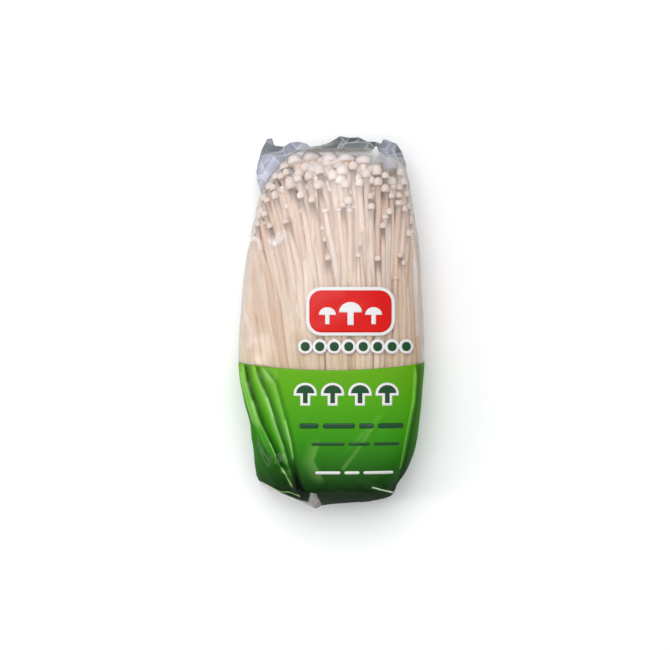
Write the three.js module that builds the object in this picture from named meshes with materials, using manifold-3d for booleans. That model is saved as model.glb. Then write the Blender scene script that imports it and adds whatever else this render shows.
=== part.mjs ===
// A bunch of enoki mushrooms in its film pouch, lying on its back, in millimetres.
// +Z is up, and +Y runs from the growing base to the caps. The origin is on the resting plane, under the middle.
import * as THREE from 'three';
import { mergeVertices } from 'three/addons/utils/BufferGeometryUtils.js';
import Module from 'manifold-3d';

const wasm = await Module();
wasm.setup();

// Outer face of the film round the bunch, from the folded end to the crumpled one.
// Each station is [y, left x, right x, underside z, top z].
const STATIONS = [
  [-91.0, -17.0, 19.0, 11.5, 26.0],
  [-89.0, -26.0, 28.0, 7.5, 31.5],
  [-86.0, -31.5, 32.0, 4.0, 36.5],
  [-81.0, -35.6, 34.6, 1.0, 40.5],
  [-75.0, -38.2, 38.0, 0.0, 42.8],
  [-66.0, -39.3, 41.8, 0.0, 44.3],
  [-50.0, -41.6, 44.6, 0.0, 45.5],
  [-36.0, -45.0, 45.9, 0.0, 46.2],
  [-22.5, -47.0, 47.0, 0.0, 46.6],
  [-8.0, -47.0, 47.0, 0.0, 46.8],
  [8.0, -45.7, 46.4, 0.0, 46.4],
  [24.0, -44.4, 45.5, 0.0, 45.6],
  [40.0, -41.8, 44.4, 0.0, 44.2],
  [54.0, -39.0, 42.3, 0.0, 42.2],
  [65.0, -36.3, 40.4, 0.0, 40.0],
  [74.0, -31.2, 38.8, 1.6, 37.6],
  [80.5, -26.2, 35.6, 4.2, 34.8],
  [85.5, -20.6, 28.5, 7.4, 31.0],
  [89.0, -13.5, 17.0, 11.5, 26.0],
];
const END_POINTS = [[0, -91.9, 18.5], [1.5, 90.4, 18.5]]; // where the film closes over each end
const SECTION_POWER = 2.5; // of the rounded oblong that the pack is across
const FLAT_DEPTH = 2.6; // how much of that oblong the flat underside takes off
const AROUND = 44; // sides of the film
const FILM = 0.8; // thickness of the film as a solid
const CUT_GAP = 0.3; // between neighbouring solids

// The printed band covers the root end, up to this line.
const PRINT_TOP = -22.5;

// Seam down the back: the film's two edges, welded and folded flat into a shallow channel.
const SEAM = { width: 14, thickness: 0.6, lift: 0.1, from: -74, to: 62 };
const CHANNEL_DEPTH = SEAM.lift + SEAM.thickness + CUT_GAP;

// Free edge of the crumpled end, outside the bunch: [x, y] from the left side over the top to the right side.
const CRUMPLE_EDGE = [
  [-37.8, 73.0], [-38.2, 79.0], [-36.3, 85.5], [-34.2, 92.3], [-31.8, 93.8], [-28.0, 92.0], [-23.6, 91.2],
  [-18.5, 92.4], [-14.5, 92.0], [-10.5, 90.6], [-3.3, 91.5], [2.8, 95.0], [8.0, 94.3], [13.4, 94.7], [17.5, 92.4],
  [22.6, 92.2], [26.6, 93.6], [30.6, 92.0], [33.6, 90.8], [36.0, 87.0], [37.6, 81.2], [38.9, 73.0],
];
const CRUMPLE_HEIGHT = 17.5; // of its middle above the resting plane
const CRUMPLE_WAVE = 2.6; // how far its folds stand up and down
const CRUMPLE_SOLID = 1.3; // thickness of the two layers of film together

// Free edge of the welded and folded film under the root end: [x, y].
const END_FIN_EDGE = [
  [-33.5, -83.0], [-28.0, -88.0], [-21.0, -92.0], [-14.6, -95.0], [-9.5, -93.2], [-3.0, -92.6],
  [6.0, -92.4], [15.0, -91.8], [24.0, -90.4], [30.5, -87.5],
];
const END_FIN_HEIGHT = 15;
const END_FIN_SOLID = 1.1;

// Pleats where the film is too wide for the root end: crest lines [x, y], with their width and height.
const PLEATS = [
  { crest: [[-38.5, -27.0], [-34.7, -31.7], [-29.7, -45.4], [-24.1, -58.6], [-20.5, -70.7], [-18.0, -80.0], [-15.2, -87.0]],
    width: 5.0, height: 1.5 },
  { crest: [[-40.5, -32.0], [-36.0, -43.3], [-32.7, -53.5], [-30.0, -63.0], [-27.5, -73.0], [-25.0, -82.0]],
    width: 4.4, height: 1.3 },
  { crest: [[-36.5, -62.0], [-33.0, -69.0], [-29.5, -76.0], [-25.0, -83.5]], width: 3.6, height: 1.0 },
  { crest: [[41.6, -26.0], [41.0, -36.0], [39.0, -50.0], [36.6, -65.0], [34.0, -76.0]], width: 3.6, height: 0.9 },
];
const PLEAT_ROOT = 0.5; // how deep a pleat's foot goes into the film

// The mushrooms.
const SEED = 20261;
const SKIN_GAP = 1.3; // from the film's inner face to the outermost mushrooms
const OUTER_RING = { count: 40, root: -79, lowest: 14, highest: 73, stem: 1.75, cap: [2.3, 3.3] };
const SECOND_RING = { count: 24, root: -6, lowest: 44, highest: 78, depth: 6.6, stem: 1.65, cap: [2.7, 3.7] };
const HEART = { count: 22, root: 2, highest: 87.2, reach: 0.92, drop: 12, stem: 1.9, cap: [3.4, 4.4] };
const STEM_SIDES = 6;
const JOIN_TOLERANCE = 0.1;
// Root block and the close-packed stems inside the ring, as one core: [y, inset from the film's outer face].
const CORE = [[-87.5, 9.0], [-84.5, 3.6], [-80.0, 2.4], [-72.0, 2.4], [-66.0, 6.4], [-54.0, 7.4], [-8.0, 7.4], [6.0, 12.5], [14.0, 17.0]];
const CORE_SIDES = 26;

const FLESH = new THREE.MeshStandardMaterial({ color: 0xe9dccb, roughness: 0.55, metalness: 0 });
const CLEAR_FILM = new THREE.MeshStandardMaterial({
  color: 0xd4d6de, roughness: 0.12, metalness: 0, transparent: true, opacity: 0.3 });
const PRINTED_FILM = new THREE.MeshStandardMaterial({ color: 0x4d9a1c, roughness: 0.2, metalness: 0 });

// Seeded random numbers from 0 to 1, the same on every run.
function randomFrom(seed) {
  let state = seed;
  return () => {
    state = (state + 0x6d2b79f5) | 0;
    let t = Math.imul(state ^ (state >>> 15), 1 | state);
    t = (t + Math.imul(t ^ (t >>> 7), 61 | t)) ^ t;
    return ((t ^ (t >>> 14)) >>> 0) / 4294967296;
  };
}
const random = randomFrom(SEED);
const randomIn = (low, high) => low + (high - low) * random();

const signedPower = (value, power) => Math.sign(value) * Math.abs(value) ** power;

// A row of a table of [key, ...values], straight between its entries.
function rowAt(table, key) {
  const last = table.length - 1;
  if (key <= table[0][0]) return table[0].slice(1);
  if (key >= table[last][0]) return table[last].slice(1);
  const i = table.findIndex((row) => row[0] > key) - 1;
  const share = (key - table[i][0]) / (table[i + 1][0] - table[i][0]);
  return table[i].slice(1).map((value, k) => THREE.MathUtils.lerp(value, table[i + 1][k + 1], share));
}

// Centre and half sizes of the pack's section at y, taken in by inset.
function sectionAt(y, inset) {
  const [left, right, low, high] = rowAt(STATIONS, y);
  const under = low - FLAT_DEPTH;
  return {
    x: (left + right) / 2,
    z: (under + high) / 2,
    halfWidth: (right - left) / 2 - inset,
    halfHeight: (high - under) / 2 - inset,
    floor: low + inset,
  };
}

// The point at angle t round that section. share is 1 on its outline and 0 at its centre.
function pointOn(y, t, inset, share = 1) {
  const s = sectionAt(y, inset);
  const x = s.x + share * s.halfWidth * signedPower(Math.cos(t), 2 / SECTION_POWER);
  const z = s.z + share * s.halfHeight * signedPower(Math.sin(t), 2 / SECTION_POWER);
  return new THREE.Vector3(x, y, Math.max(z, s.floor));
}

// Angles that stand evenly round the pack's widest section.
function evenAngles(count) {
  const steps = 720;
  const points = Array.from({ length: steps + 1 }, (_, i) => pointOn(PRINT_TOP, (i / steps) * 2 * Math.PI, 0));
  const along = [0];
  for (let i = 1; i <= steps; i++) along.push(along[i - 1] + points[i].distanceTo(points[i - 1]));
  return Array.from({ length: count }, (_, k) => {
    const target = ((k + 0.5) / count) * along[steps];
    return (along.findIndex((length) => length >= target) / steps) * 2 * Math.PI;
  });
}

// A closed manifold solid from a closed geometry, facing out.
function solidFrom(geometry) {
  const bare = geometry.clone();
  bare.deleteAttribute('normal');
  bare.deleteAttribute('uv');
  const merged = mergeVertices(bare, 1e-4);
  const vertProperties = new Float32Array(merged.attributes.position.array);
  const triVerts = new Uint32Array(merged.index.array);
  const made = new wasm.Manifold(new wasm.Mesh({ numProp: 3, vertProperties, triVerts }));
  if (made.volume() > 0) return made;
  for (let i = 0; i < triVerts.length; i += 3) {
    [triVerts[i + 1], triVerts[i + 2]] = [triVerts[i + 2], triVerts[i + 1]];
  }
  return new wasm.Manifold(new wasm.Mesh({ numProp: 3, vertProperties, triVerts }));
}

// The geometry of a solid, ready for a mesh.
function geometryFrom(solid) {
  const { vertProperties, triVerts, numProp } = solid.getMesh();
  const position = new Float32Array((vertProperties.length / numProp) * 3);
  for (let i = 0; i < position.length / 3; i++) position.set(vertProperties.subarray(i * numProp, i * numProp + 3), i * 3);
  const geometry = new THREE.BufferGeometry();
  geometry.setAttribute('position', new THREE.BufferAttribute(position, 3));
  geometry.setIndex(new THREE.BufferAttribute(new Uint32Array(triVerts), 1));
  geometry.computeVertexNormals();
  return geometry;
}

// A closed geometry through rings of points that all have the same count, shut at each end by a fan to its tip.
function loft(rings, firstTip, lastTip) {
  const sides = rings[0].length;
  const points = [...rings.flat(), firstTip, lastTip];
  const first = points.length - 2;
  const index = [];
  const at = (row, side) => row * sides + (side % sides);
  for (let side = 0; side < sides; side++) {
    for (let row = 0; row < rings.length - 1; row++) {
      index.push(at(row, side), at(row, side + 1), at(row + 1, side));
      index.push(at(row, side + 1), at(row + 1, side + 1), at(row + 1, side));
    }
    index.push(first, at(0, side + 1), at(0, side));
    index.push(first + 1, at(rings.length - 1, side), at(rings.length - 1, side + 1));
  }
  const geometry = new THREE.BufferGeometry().setFromPoints(points);
  geometry.setIndex(index);
  return geometry;
}

// The pack's body as a solid, taken in by inset from the film's outer face.
function packBody(inset) {
  const rings = STATIONS.map(([y], row) => {
    const fromEnd = Math.min(row, STATIONS.length - 1 - row);
    const yIn = fromEnd === 0 ? y - Math.sign(y) * inset * 0.8 : y;
    return Array.from({ length: AROUND }, (_, k) => {
      const point = pointOn(y, (k / AROUND) * 2 * Math.PI, inset);
      return point.setY(yIn);
    });
  });
  const tips = END_POINTS.map(([x, y, z]) => new THREE.Vector3(x, y - Math.sign(y) * inset, z));
  return solidFrom(loft(rings, ...tips));
}

// A box from its lowest to its highest corner.
function boxBetween(low, high) {
  const size = high.map((value, k) => value - low[k]);
  const geometry = new THREE.BoxGeometry(...size);
  geometry.translate(...low.map((value, k) => value + size[k] / 2));
  return solidFrom(geometry);
}

// A sheet of film from an inner line to its free edge, as a solid of even thickness.
// wave gives the height of its middle at a column and a row.
function filmSheet(innerLine, edge, rows, thickness, wave) {
  const columns = edge.length;
  const middle = (column, row) => {
    const share = row / rows;
    const point = new THREE.Vector3(
      THREE.MathUtils.lerp(innerLine[column][0], edge[column][0], share),
      THREE.MathUtils.lerp(innerLine[column][1], edge[column][1], share), 0);
    return point.setZ(wave(column, share));
  };
  // Each column is a ring: out along the upper face and back along the lower one.
  const rings = edge.map((_, column) => {
    const upper = [];
    const lower = [];
    for (let row = 0; row <= rows; row++) {
      const point = middle(column, row);
      upper.push(point.clone().setZ(point.z + thickness / 2));
      lower.unshift(point.clone().setZ(point.z - thickness / 2));
    }
    return [...upper, ...lower];
  });
  const tip = (column) => middle(column, rows / 2);
  return solidFrom(loft(rings, tip(0), tip(columns - 1)));
}

// Height of the film's outer face over the point x, y.
function topOfFilm(x, y) {
  const s = sectionAt(y, 0);
  const across = Math.min(Math.abs((x - s.x) / s.halfWidth), 0.995);
  return s.z + s.halfHeight * (1 - across ** SECTION_POWER) ** (1 / SECTION_POWER);
}

// A pleat as a three-sided ridge along its crest, standing in the film.
function pleatRidge({ crest, width, height }) {
  const rings = crest.map(([x, y], k) => {
    const [before, after] = [crest[Math.max(k - 1, 0)], crest[Math.min(k + 1, crest.length - 1)]];
    const along = new THREE.Vector2(after[0] - before[0], after[1] - before[1]).normalize();
    const taper = k === 0 || k === crest.length - 1 ? 0.35 : 1;
    const foot = (side) => {
      const [fx, fy] = [x - side * along.y * width / 2, y + side * along.x * width / 2];
      return new THREE.Vector3(fx, fy, topOfFilm(fx, fy) - PLEAT_ROOT);
    };
    return [foot(1), new THREE.Vector3(x, y, topOfFilm(x, y) + height * taper), foot(-1)];
  });
  const middleOf = (ring) => ring.reduce((sum, p) => sum.add(p), new THREE.Vector3()).divideScalar(ring.length);
  return solidFrom(loft(rings, middleOf(rings[0]), middleOf(rings[rings.length - 1])));
}

// The crumpled end: the front and back film pressed together past the caps.
function crumpledEnd() {
  const middleX = END_POINTS[1][0];
  const innerLine = CRUMPLE_EDGE.map(([x, y]) => [THREE.MathUtils.lerp(middleX, x, 0.62), Math.min(y - 14, 74)]);
  const wave = (column, share) => {
    const fold = column % 2 ? 1 : -1;
    return CRUMPLE_HEIGHT + share * (CRUMPLE_WAVE * fold + 1.6 * Math.sin(column * 0.9));
  };
  return filmSheet(innerLine, CRUMPLE_EDGE, 3, CRUMPLE_SOLID, wave);
}

// The welded end under the root end, folded towards the surface.
function endFin() {
  const innerLine = END_FIN_EDGE.map(([x]) => [x * 0.7, -80]);
  const wave = (column, share) => END_FIN_HEIGHT - share * (5.5 + (column % 2 ? 1.1 : -0.6));
  return filmSheet(innerLine, END_FIN_EDGE, 3, END_FIN_SOLID, wave);
}

// The whole pouch as one shell with the channel for its back seam.
function pouchShell() {
  const channelHalf = SEAM.width / 2 + CUT_GAP;
  const channel = boxBetween([-channelHalf, SEAM.from - 0.5, -5], [channelHalf, SEAM.to + 0.5, CHANNEL_DEPTH]);
  const roof = boxBetween(
    [-channelHalf - FILM, SEAM.from - 0.5 - FILM, -5], [channelHalf + FILM, SEAM.to + 0.5 + FILM, CHANNEL_DEPTH + FILM]);
  const outside = wasm.Manifold.union([packBody(0), crumpledEnd(), endFin(), ...PLEATS.map(pleatRidge)]);
  return outside.subtract(channel).subtract(packBody(FILM).subtract(roof));
}

// One mushroom along a curve, from its root to the top of its cap.
function mushroom(curve, stemRadius, capRadius) {
  const length = curve.getLength();
  const capHeight = capRadius * 1.15;
  const neck = length - capHeight;
  const profile = [
    [0, 0], [stemRadius * 1.05, 0], [stemRadius, length * 0.5], [stemRadius * 0.85, neck],
    [capRadius, neck + capHeight * 0.15], [capRadius * 0.72, neck + capHeight * 0.8], [0, length],
  ].map(([radius, along]) => new THREE.Vector2(radius, along));
  const geometry = new THREE.LatheGeometry(profile, STEM_SIDES);
  const position = geometry.attributes.position;
  const up = new THREE.Vector3(0, 0, 1);
  for (let i = 0; i < position.count; i++) {
    const share = THREE.MathUtils.clamp(position.getY(i) / length, 0, 1);
    const tangent = curve.getTangentAt(share);
    const across = new THREE.Vector3().crossVectors(tangent, up).normalize();
    const over = new THREE.Vector3().crossVectors(across, tangent);
    const point = curve.getPointAt(share)
      .addScaledVector(across, position.getX(i))
      .addScaledVector(over, position.getZ(i));
    position.setXYZ(i, point.x, point.y, point.z);
  }
  return solidFrom(geometry);
}

// A curve that follows the pack's sections at one angle, from root to tip.
// depthAt gives how far it runs inside the film's outer face, and share how near the centre.
function stemCurve(root, tip, angle, depthAt, share = 1) {
  const steps = 5;
  const points = Array.from({ length: steps + 1 }, (_, k) => {
    const y = THREE.MathUtils.lerp(root, tip, k / steps);
    return pointOn(y, angle, depthAt(k / steps), share);
  });
  return new THREE.CatmullRomCurve3(points);
}

// Stems that cover the bunch all round, each ending at its own height.
function outerRing() {
  const skin = FILM + SKIN_GAP;
  return evenAngles(OUTER_RING.count).map((angle) => {
    const stem = OUTER_RING.stem * randomIn(0.88, 1.08);
    const cap = randomIn(...OUTER_RING.cap);
    const tip = OUTER_RING.lowest + (OUTER_RING.highest - OUTER_RING.lowest) * Math.sqrt(random());
    const depthAt = (share) => skin + THREE.MathUtils.lerp(stem, cap, THREE.MathUtils.smoothstep(share, 0.6, 1));
    return mushroom(stemCurve(OUTER_RING.root, tip, angle, depthAt), stem, cap);
  });
}

// Stems just behind them, which show where the outer ones end.
function secondRing() {
  return evenAngles(SECOND_RING.count).map((angle) => {
    const stem = SECOND_RING.stem * randomIn(0.9, 1.1);
    const cap = randomIn(...SECOND_RING.cap);
    const tip = randomIn(SECOND_RING.lowest, SECOND_RING.highest);
    const depthAt = (share) => THREE.MathUtils.lerp(SECOND_RING.depth + 4, SECOND_RING.depth, share ** 0.5);
    return mushroom(stemCurve(SECOND_RING.root, tip, angle, depthAt), stem, cap);
  });
}

// The tallest mushrooms, whose caps fill the end of the bunch.
function heart() {
  const goldenAngle = Math.PI * (3 - Math.sqrt(5));
  return Array.from({ length: HEART.count }, (_, k) => {
    const share = HEART.reach * Math.sqrt((k + 0.5) / HEART.count);
    const stem = HEART.stem * randomIn(0.9, 1.1);
    const cap = randomIn(...HEART.cap);
    const tip = HEART.highest - HEART.drop * share ** 2 - randomIn(0, 3.5);
    return mushroom(stemCurve(HEART.root, tip, k * goldenAngle, () => FILM + SKIN_GAP + cap, share), stem, cap);
  });
}

// The root block with the close-packed stems that grow from it.
function core() {
  const rings = CORE.map(([y, inset]) =>
    Array.from({ length: CORE_SIDES }, (_, k) => pointOn(y, (k / CORE_SIDES) * 2 * Math.PI, inset)));
  const tipAt = (row, beyond) => {
    const s = sectionAt(CORE[row][0], 0);
    return new THREE.Vector3(s.x, CORE[row][0] + beyond, s.z);
  };
  return solidFrom(loft(rings, tipAt(0, -0.5), tipAt(CORE.length - 1, 4)));
}

// All of them grown together, without the slivers that their joins leave.
function bunch() {
  return wasm.Manifold.union([core(), ...outerRing(), ...secondRing(), ...heart()]).simplify(JOIN_TOLERANCE);
}

// The part of a solid on one side of a line across the pack.
function partOf(solid, from, to) {
  return solid.intersect(boxBetween([-100, from, -50], [100, to, 100]));
}

function seam() {
  return boxBetween([-SEAM.width / 2, SEAM.from, SEAM.lift], [SEAM.width / 2, SEAM.to, SEAM.lift + SEAM.thickness]);
}

function piece(name, solid, material) {
  const mesh = new THREE.Mesh(geometryFrom(solid), material);
  mesh.name = name;
  return mesh;
}

const pouch = pouchShell();
const pack = new THREE.Group();
pack.add(piece('enoki_bunch', bunch(), FLESH));
pack.add(piece('pouch_clear_film', partOf(pouch, PRINT_TOP + CUT_GAP / 2, 150), CLEAR_FILM));
pack.add(piece('pouch_printed_film', partOf(pouch, -150, PRINT_TOP - CUT_GAP / 2), PRINTED_FILM));
pack.add(piece('pouch_back_seam', seam(), CLEAR_FILM));

export default pack;
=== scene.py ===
"""Looks of a bunch of enoki mushrooms in its film pouch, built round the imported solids.

Lengths in this file are in millimetres, in the frame of the solids, and become metres where a mesh is made.
+Z is up, +Y runs from the root end to the caps, and the camera looks straight down.
"""
import logging
import math
from dataclasses import dataclass, field
from enum import Enum
from typing import Any, Sequence

import bmesh
import bpy
import numpy as np
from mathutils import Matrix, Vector
from mathutils.bvhtree import BVHTree


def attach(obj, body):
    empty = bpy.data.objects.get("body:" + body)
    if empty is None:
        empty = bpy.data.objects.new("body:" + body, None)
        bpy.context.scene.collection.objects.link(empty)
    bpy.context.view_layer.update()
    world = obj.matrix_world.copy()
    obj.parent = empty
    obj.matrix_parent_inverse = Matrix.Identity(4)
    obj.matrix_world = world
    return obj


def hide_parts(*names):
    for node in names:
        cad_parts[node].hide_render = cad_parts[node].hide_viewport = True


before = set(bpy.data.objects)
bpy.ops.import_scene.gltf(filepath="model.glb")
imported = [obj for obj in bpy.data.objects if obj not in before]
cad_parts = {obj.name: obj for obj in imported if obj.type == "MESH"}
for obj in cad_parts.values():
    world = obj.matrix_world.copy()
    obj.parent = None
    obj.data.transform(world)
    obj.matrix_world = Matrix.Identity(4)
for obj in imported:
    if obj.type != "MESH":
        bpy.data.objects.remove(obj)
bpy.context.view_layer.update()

LOG = logging.getLogger("enoki")
MM = 0.001
BODY = "root"
Points = np.ndarray
Tree = bpy.types.NodeTree
Socket = bpy.types.NodeSocket
Material = bpy.types.Material
Piece = bpy.types.Object
Outline = Sequence[tuple[float, float]]

# Outer face of the film, as in the solids: y, left x, right x, underside z, top z.
STATIONS = np.array([
    [-91.0, -17.0, 19.0, 11.5, 26.0],
    [-89.0, -26.0, 28.0, 7.5, 31.5],
    [-86.0, -31.5, 32.0, 4.0, 36.5],
    [-81.0, -35.6, 34.6, 1.0, 40.5],
    [-75.0, -38.2, 38.0, 0.0, 42.8],
    [-66.0, -39.3, 41.8, 0.0, 44.3],
    [-50.0, -41.6, 44.6, 0.0, 45.5],
    [-36.0, -45.0, 45.9, 0.0, 46.2],
    [-22.5, -47.0, 47.0, 0.0, 46.6],
    [-8.0, -47.0, 47.0, 0.0, 46.8],
    [8.0, -45.7, 46.4, 0.0, 46.4],
    [24.0, -44.4, 45.5, 0.0, 45.6],
    [40.0, -41.8, 44.4, 0.0, 44.2],
    [54.0, -39.0, 42.3, 0.0, 42.2],
    [65.0, -36.3, 40.4, 0.0, 40.0],
    [74.0, -31.2, 38.8, 1.6, 37.6],
    [80.5, -26.2, 35.6, 4.2, 34.8],
    [85.5, -20.6, 28.5, 7.4, 31.0],
    [89.0, -13.5, 17.0, 11.5, 26.0],
])
SECTION_POWER = 2.5  # of the rounded oblong that the pack is across
FLAT_DEPTH = 2.6  # how much of that oblong the flat underside takes off
PRINT_TOP = -22.5  # the printed band covers the root end up to here
SEAM_HALF = 7.3  # half width of the channel that the back seam lies in
SEAM_FROM = -74.5
SEAM_TO = 62.5
CHANNEL_DEPTH = 1.0


def linear(colour: str) -> tuple[float, float, float, float]:
    """Turns an sRGB hex colour into linear light.

    Args:
        colour: Six hex digits.

    Returns:
        Red, green, blue and an alpha of 1.
    """
    parts = [int(colour[i:i + 2], 16) / 255 for i in (0, 2, 4)]
    light = [p / 12.92 if p <= 0.04045 else ((p + 0.055) / 1.055) ** 2.4 for p in parts]
    return (light[0], light[1], light[2], 1.0)


def add_node(tree: Tree, kind: str, inputs: dict[Any, Any] | None = None,
             **settings: Any) -> bpy.types.Node:
    """Adds a shader node with its settings, values and links.

    Args:
        tree: The node tree.
        kind: The node's type, without the word ShaderNode.
        inputs: Value or output socket for each input, by its name or number.
        **settings: The node's own properties.

    Returns:
        The node.
    """
    node = tree.nodes.new("ShaderNode" + kind)
    for name, value in settings.items():
        setattr(node, name, value)
    for key, value in (inputs or {}).items():
        if isinstance(value, Socket):
            tree.links.new(value, node.inputs[key])
        else:
            node.inputs[key].default_value = value
    return node


def scale_of(size_mm: float) -> float:
    """Turns the size of a pattern in millimetres into a texture's scale."""
    return 1 / (size_mm * MM)


def set_stops(node: bpy.types.Node, stops: Sequence[tuple[float, str]]) -> None:
    """Sets a colour ramp's stops.

    Args:
        node: The colour ramp.
        stops: Place from 0 to 1 and hex colour of each stop, at least two.
    """
    ramp = node.color_ramp
    while len(ramp.elements) < len(stops):
        ramp.elements.new(0.5)
    for element, (place, colour) in zip(ramp.elements, stops):
        element.position = place
        element.color = linear(colour)


def new_material(name: str) -> tuple[Material, Tree]:
    """Makes an empty node material.

    Args:
        name: The material's name.

    Returns:
        The material and its node tree.
    """
    material = bpy.data.materials.new(name)
    material.use_nodes = True
    material.node_tree.nodes.clear()
    return material, material.node_tree


def new_piece(name: str, points: Points, faces: Sequence[Sequence[int]], material: Material,
              layers: dict[str, Points] | None = None) -> Piece:
    """Makes one smooth-shaded piece of the object that rides on its body.

    Args:
        name: The piece's name.
        points: One row of x, y and z per point.
        faces: Point numbers of each face.
        material: The piece's finish.
        layers: Numbers stored per point, for the material to read.

    Returns:
        The piece.
    """
    mesh = bpy.data.meshes.new(name)
    mesh.from_pydata((np.asarray(points) * MM).tolist(), [], [list(map(int, f)) for f in faces])
    mesh.shade_smooth()
    for layer, values in (layers or {}).items():
        stored = mesh.attributes.new(layer, "FLOAT", "POINT")
        stored.data.foreach_set("value", np.asarray(values, dtype=np.float32))
    mesh.materials.append(material)
    piece = bpy.data.objects.new(name, mesh)
    bpy.context.scene.collection.objects.link(piece)
    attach(piece, BODY)
    return piece


def smoothstep(low: float, high: float, value: Points) -> Points:
    """Rises from 0 at low to 1 at high with no corner."""
    share = np.clip((value - low) / (high - low), 0, 1)
    return share * share * (3 - 2 * share)


def zigzag(value: Points) -> Points:
    """Falls straight from 1 to 0 and rises to 1 again from each whole number to the next."""
    return np.abs(value % 1 * 2 - 1)


def turned(x: Points, y: Points, turn: float) -> tuple[Points, Points]:
    """Gives x and y in axes that are turned by an angle."""
    return x * math.cos(turn) + y * math.sin(turn), y * math.cos(turn) - x * math.sin(turn)


def read_line(line: Outline, at: Points) -> Points:
    """Reads a line of points at the places at, straight between its points."""
    return np.interp(at, *zip(*line))


@dataclass(frozen=True)
class PackForm:
    """The pack's outer form, as the solids have it, with its stations joined smoothly."""

    stations: Points = field(default_factory=lambda: STATIONS)

    def rows(self, y: Points) -> Points:
        """Reads the smooth stations.

        Args:
            y: Places along the pack.

        Returns:
            Left x, right x, underside z and top z, in four rows.
        """
        table = self.stations
        slopes = np.gradient(table[:, 1:], table[:, 0], axis=0)
        at = np.clip(np.asarray(y, dtype=float), table[0, 0], table[-1, 0])
        i = np.clip(np.searchsorted(table[:, 0], at, side="right") - 1, 0, len(table) - 2)
        span = table[i + 1, 0] - table[i, 0]
        t = ((at - table[i, 0]) / span)[..., None]
        span = span[..., None]
        value = ((2 * t**3 - 3 * t**2 + 1) * table[i, 1:] + (t**3 - 2 * t**2 + t) * span * slopes[i]
                 + (3 * t**2 - 2 * t**3) * table[i + 1, 1:] + (t**3 - t**2) * span * slopes[i + 1])
        return np.moveaxis(value, -1, 0)

    def section(self, y: Points, inset: Points = 0.0) -> tuple[Points, Points, Points, Points, Points]:
        """Gives the section at y, taken in by inset.

        Args:
            y: Places along the pack.
            inset: How far inside the film's outer face.

        Returns:
            Centre x, centre z, half width, half height and floor z.
        """
        left, right, low, high = self.rows(y)
        under = low - FLAT_DEPTH
        return ((left + right) / 2, (under + high) / 2, (right - left) / 2 - inset,
                (high - under) / 2 - inset, np.maximum(low, 0) + inset)

    def point(self, y: Points, turn: Points, inset: Points = 0.0) -> Points:
        """Gives points on the section's outline.

        Args:
            y: Places along the pack.
            turn: Angles round it, from +X over the top.
            inset: How far inside the film's outer face.

        Returns:
            One row of x, y and z per point.
        """
        x0, z0, half_width, half_height, floor = self.section(y, inset)
        power = 2 / SECTION_POWER
        x = x0 + half_width * np.sign(np.cos(turn)) * np.abs(np.cos(turn)) ** power
        z = z0 + half_height * np.sign(np.sin(turn)) * np.abs(np.sin(turn)) ** power
        return np.stack(np.broadcast_arrays(x, y, np.maximum(z, floor)), axis=-1)

    def height(self, x: Points, y: Points, inset: Points = 0.0, front: bool = True) -> Points:
        """Gives the height of the film's front or back.

        Args:
            x: Places across the pack.
            y: Places along it.
            inset: How far inside the film's outer face.
            front: Whether it is the front.

        Returns:
            The height at each place, and the middle height beside the pack.
        """
        x0, z0, half_width, half_height, floor = self.section(y, inset)
        across = np.clip(np.abs(x - x0) / half_width, 0, 1)
        rise = half_height * (1 - across**SECTION_POWER) ** (1 / SECTION_POWER)
        return z0 + rise if front else np.maximum(z0 - rise, floor)


FORM = PackForm()


@dataclass(frozen=True)
class Crumple:
    """Film crushed and let go: straight creases at random angles, nearly flat between them."""

    seed: int
    spacing: float
    folds: int = 9
    crease_width: float = 0.45
    fold_spread: tuple[float, float] = (0.6, 1.7)  # spacing of one fold after another, in spacings
    fold_length: float = 2.3  # in spacings
    fold_bend: float = 0.35
    panel_spread: tuple[float, float] = (0.7, 1.6)
    panel_length: float = 1.7
    panel_bend: float = 0.4

    def height(self, x: Points, y: Points) -> Points:
        """Gives the folds' height.

        Args:
            x: Places across the pack.
            y: Places along it.

        Returns:
            The height at each place, about -1 to 1.
        """
        rng = np.random.default_rng(self.seed)
        total = np.zeros_like(x, dtype=float)
        for _ in range(self.folds):
            across, along = turned(x, y, rng.uniform(0, math.pi))
            spacing = self.spacing * rng.uniform(*self.fold_spread)
            phases = rng.uniform(0, 1, 3)
            along = along / (spacing * self.fold_length)
            bend = self.fold_bend * zigzag(along * 0.7 + phases[2])
            fold = zigzag(across / spacing + bend + phases[0]) - 0.5
            total += fold * zigzag(along + phases[1])
        return total / math.sqrt(self.folds)

    def panels(self, x: Points, y: Points) -> tuple[Points, Points]:
        """Gives which flat panel of the crushed film each point lies on.

        Args:
            x: Places across the pack.
            y: Places along it.

        Returns:
            A level from 0 to 1 that steps at every crease, and 1 on a crease falling to 0 beside it.
        """
        rng = np.random.default_rng(self.seed)
        level = np.zeros_like(x, dtype=float)
        line = np.zeros_like(x, dtype=float)
        for _ in range(self.folds):
            across, along = turned(x, y, rng.uniform(0, math.pi))
            spacing = self.spacing * rng.uniform(*self.panel_spread)
            start = rng.uniform(0, 1)
            bend = self.panel_bend * zigzag(along / (spacing * self.panel_length) + start)
            place = across / spacing + bend + start
            level += np.floor(place) % 2
            gap = np.abs((place + 0.5) % 1 - 0.5) * spacing
            line = np.maximum(line, np.clip(1 - gap / self.crease_width, 0, 1))
        return level / self.folds, line


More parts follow.
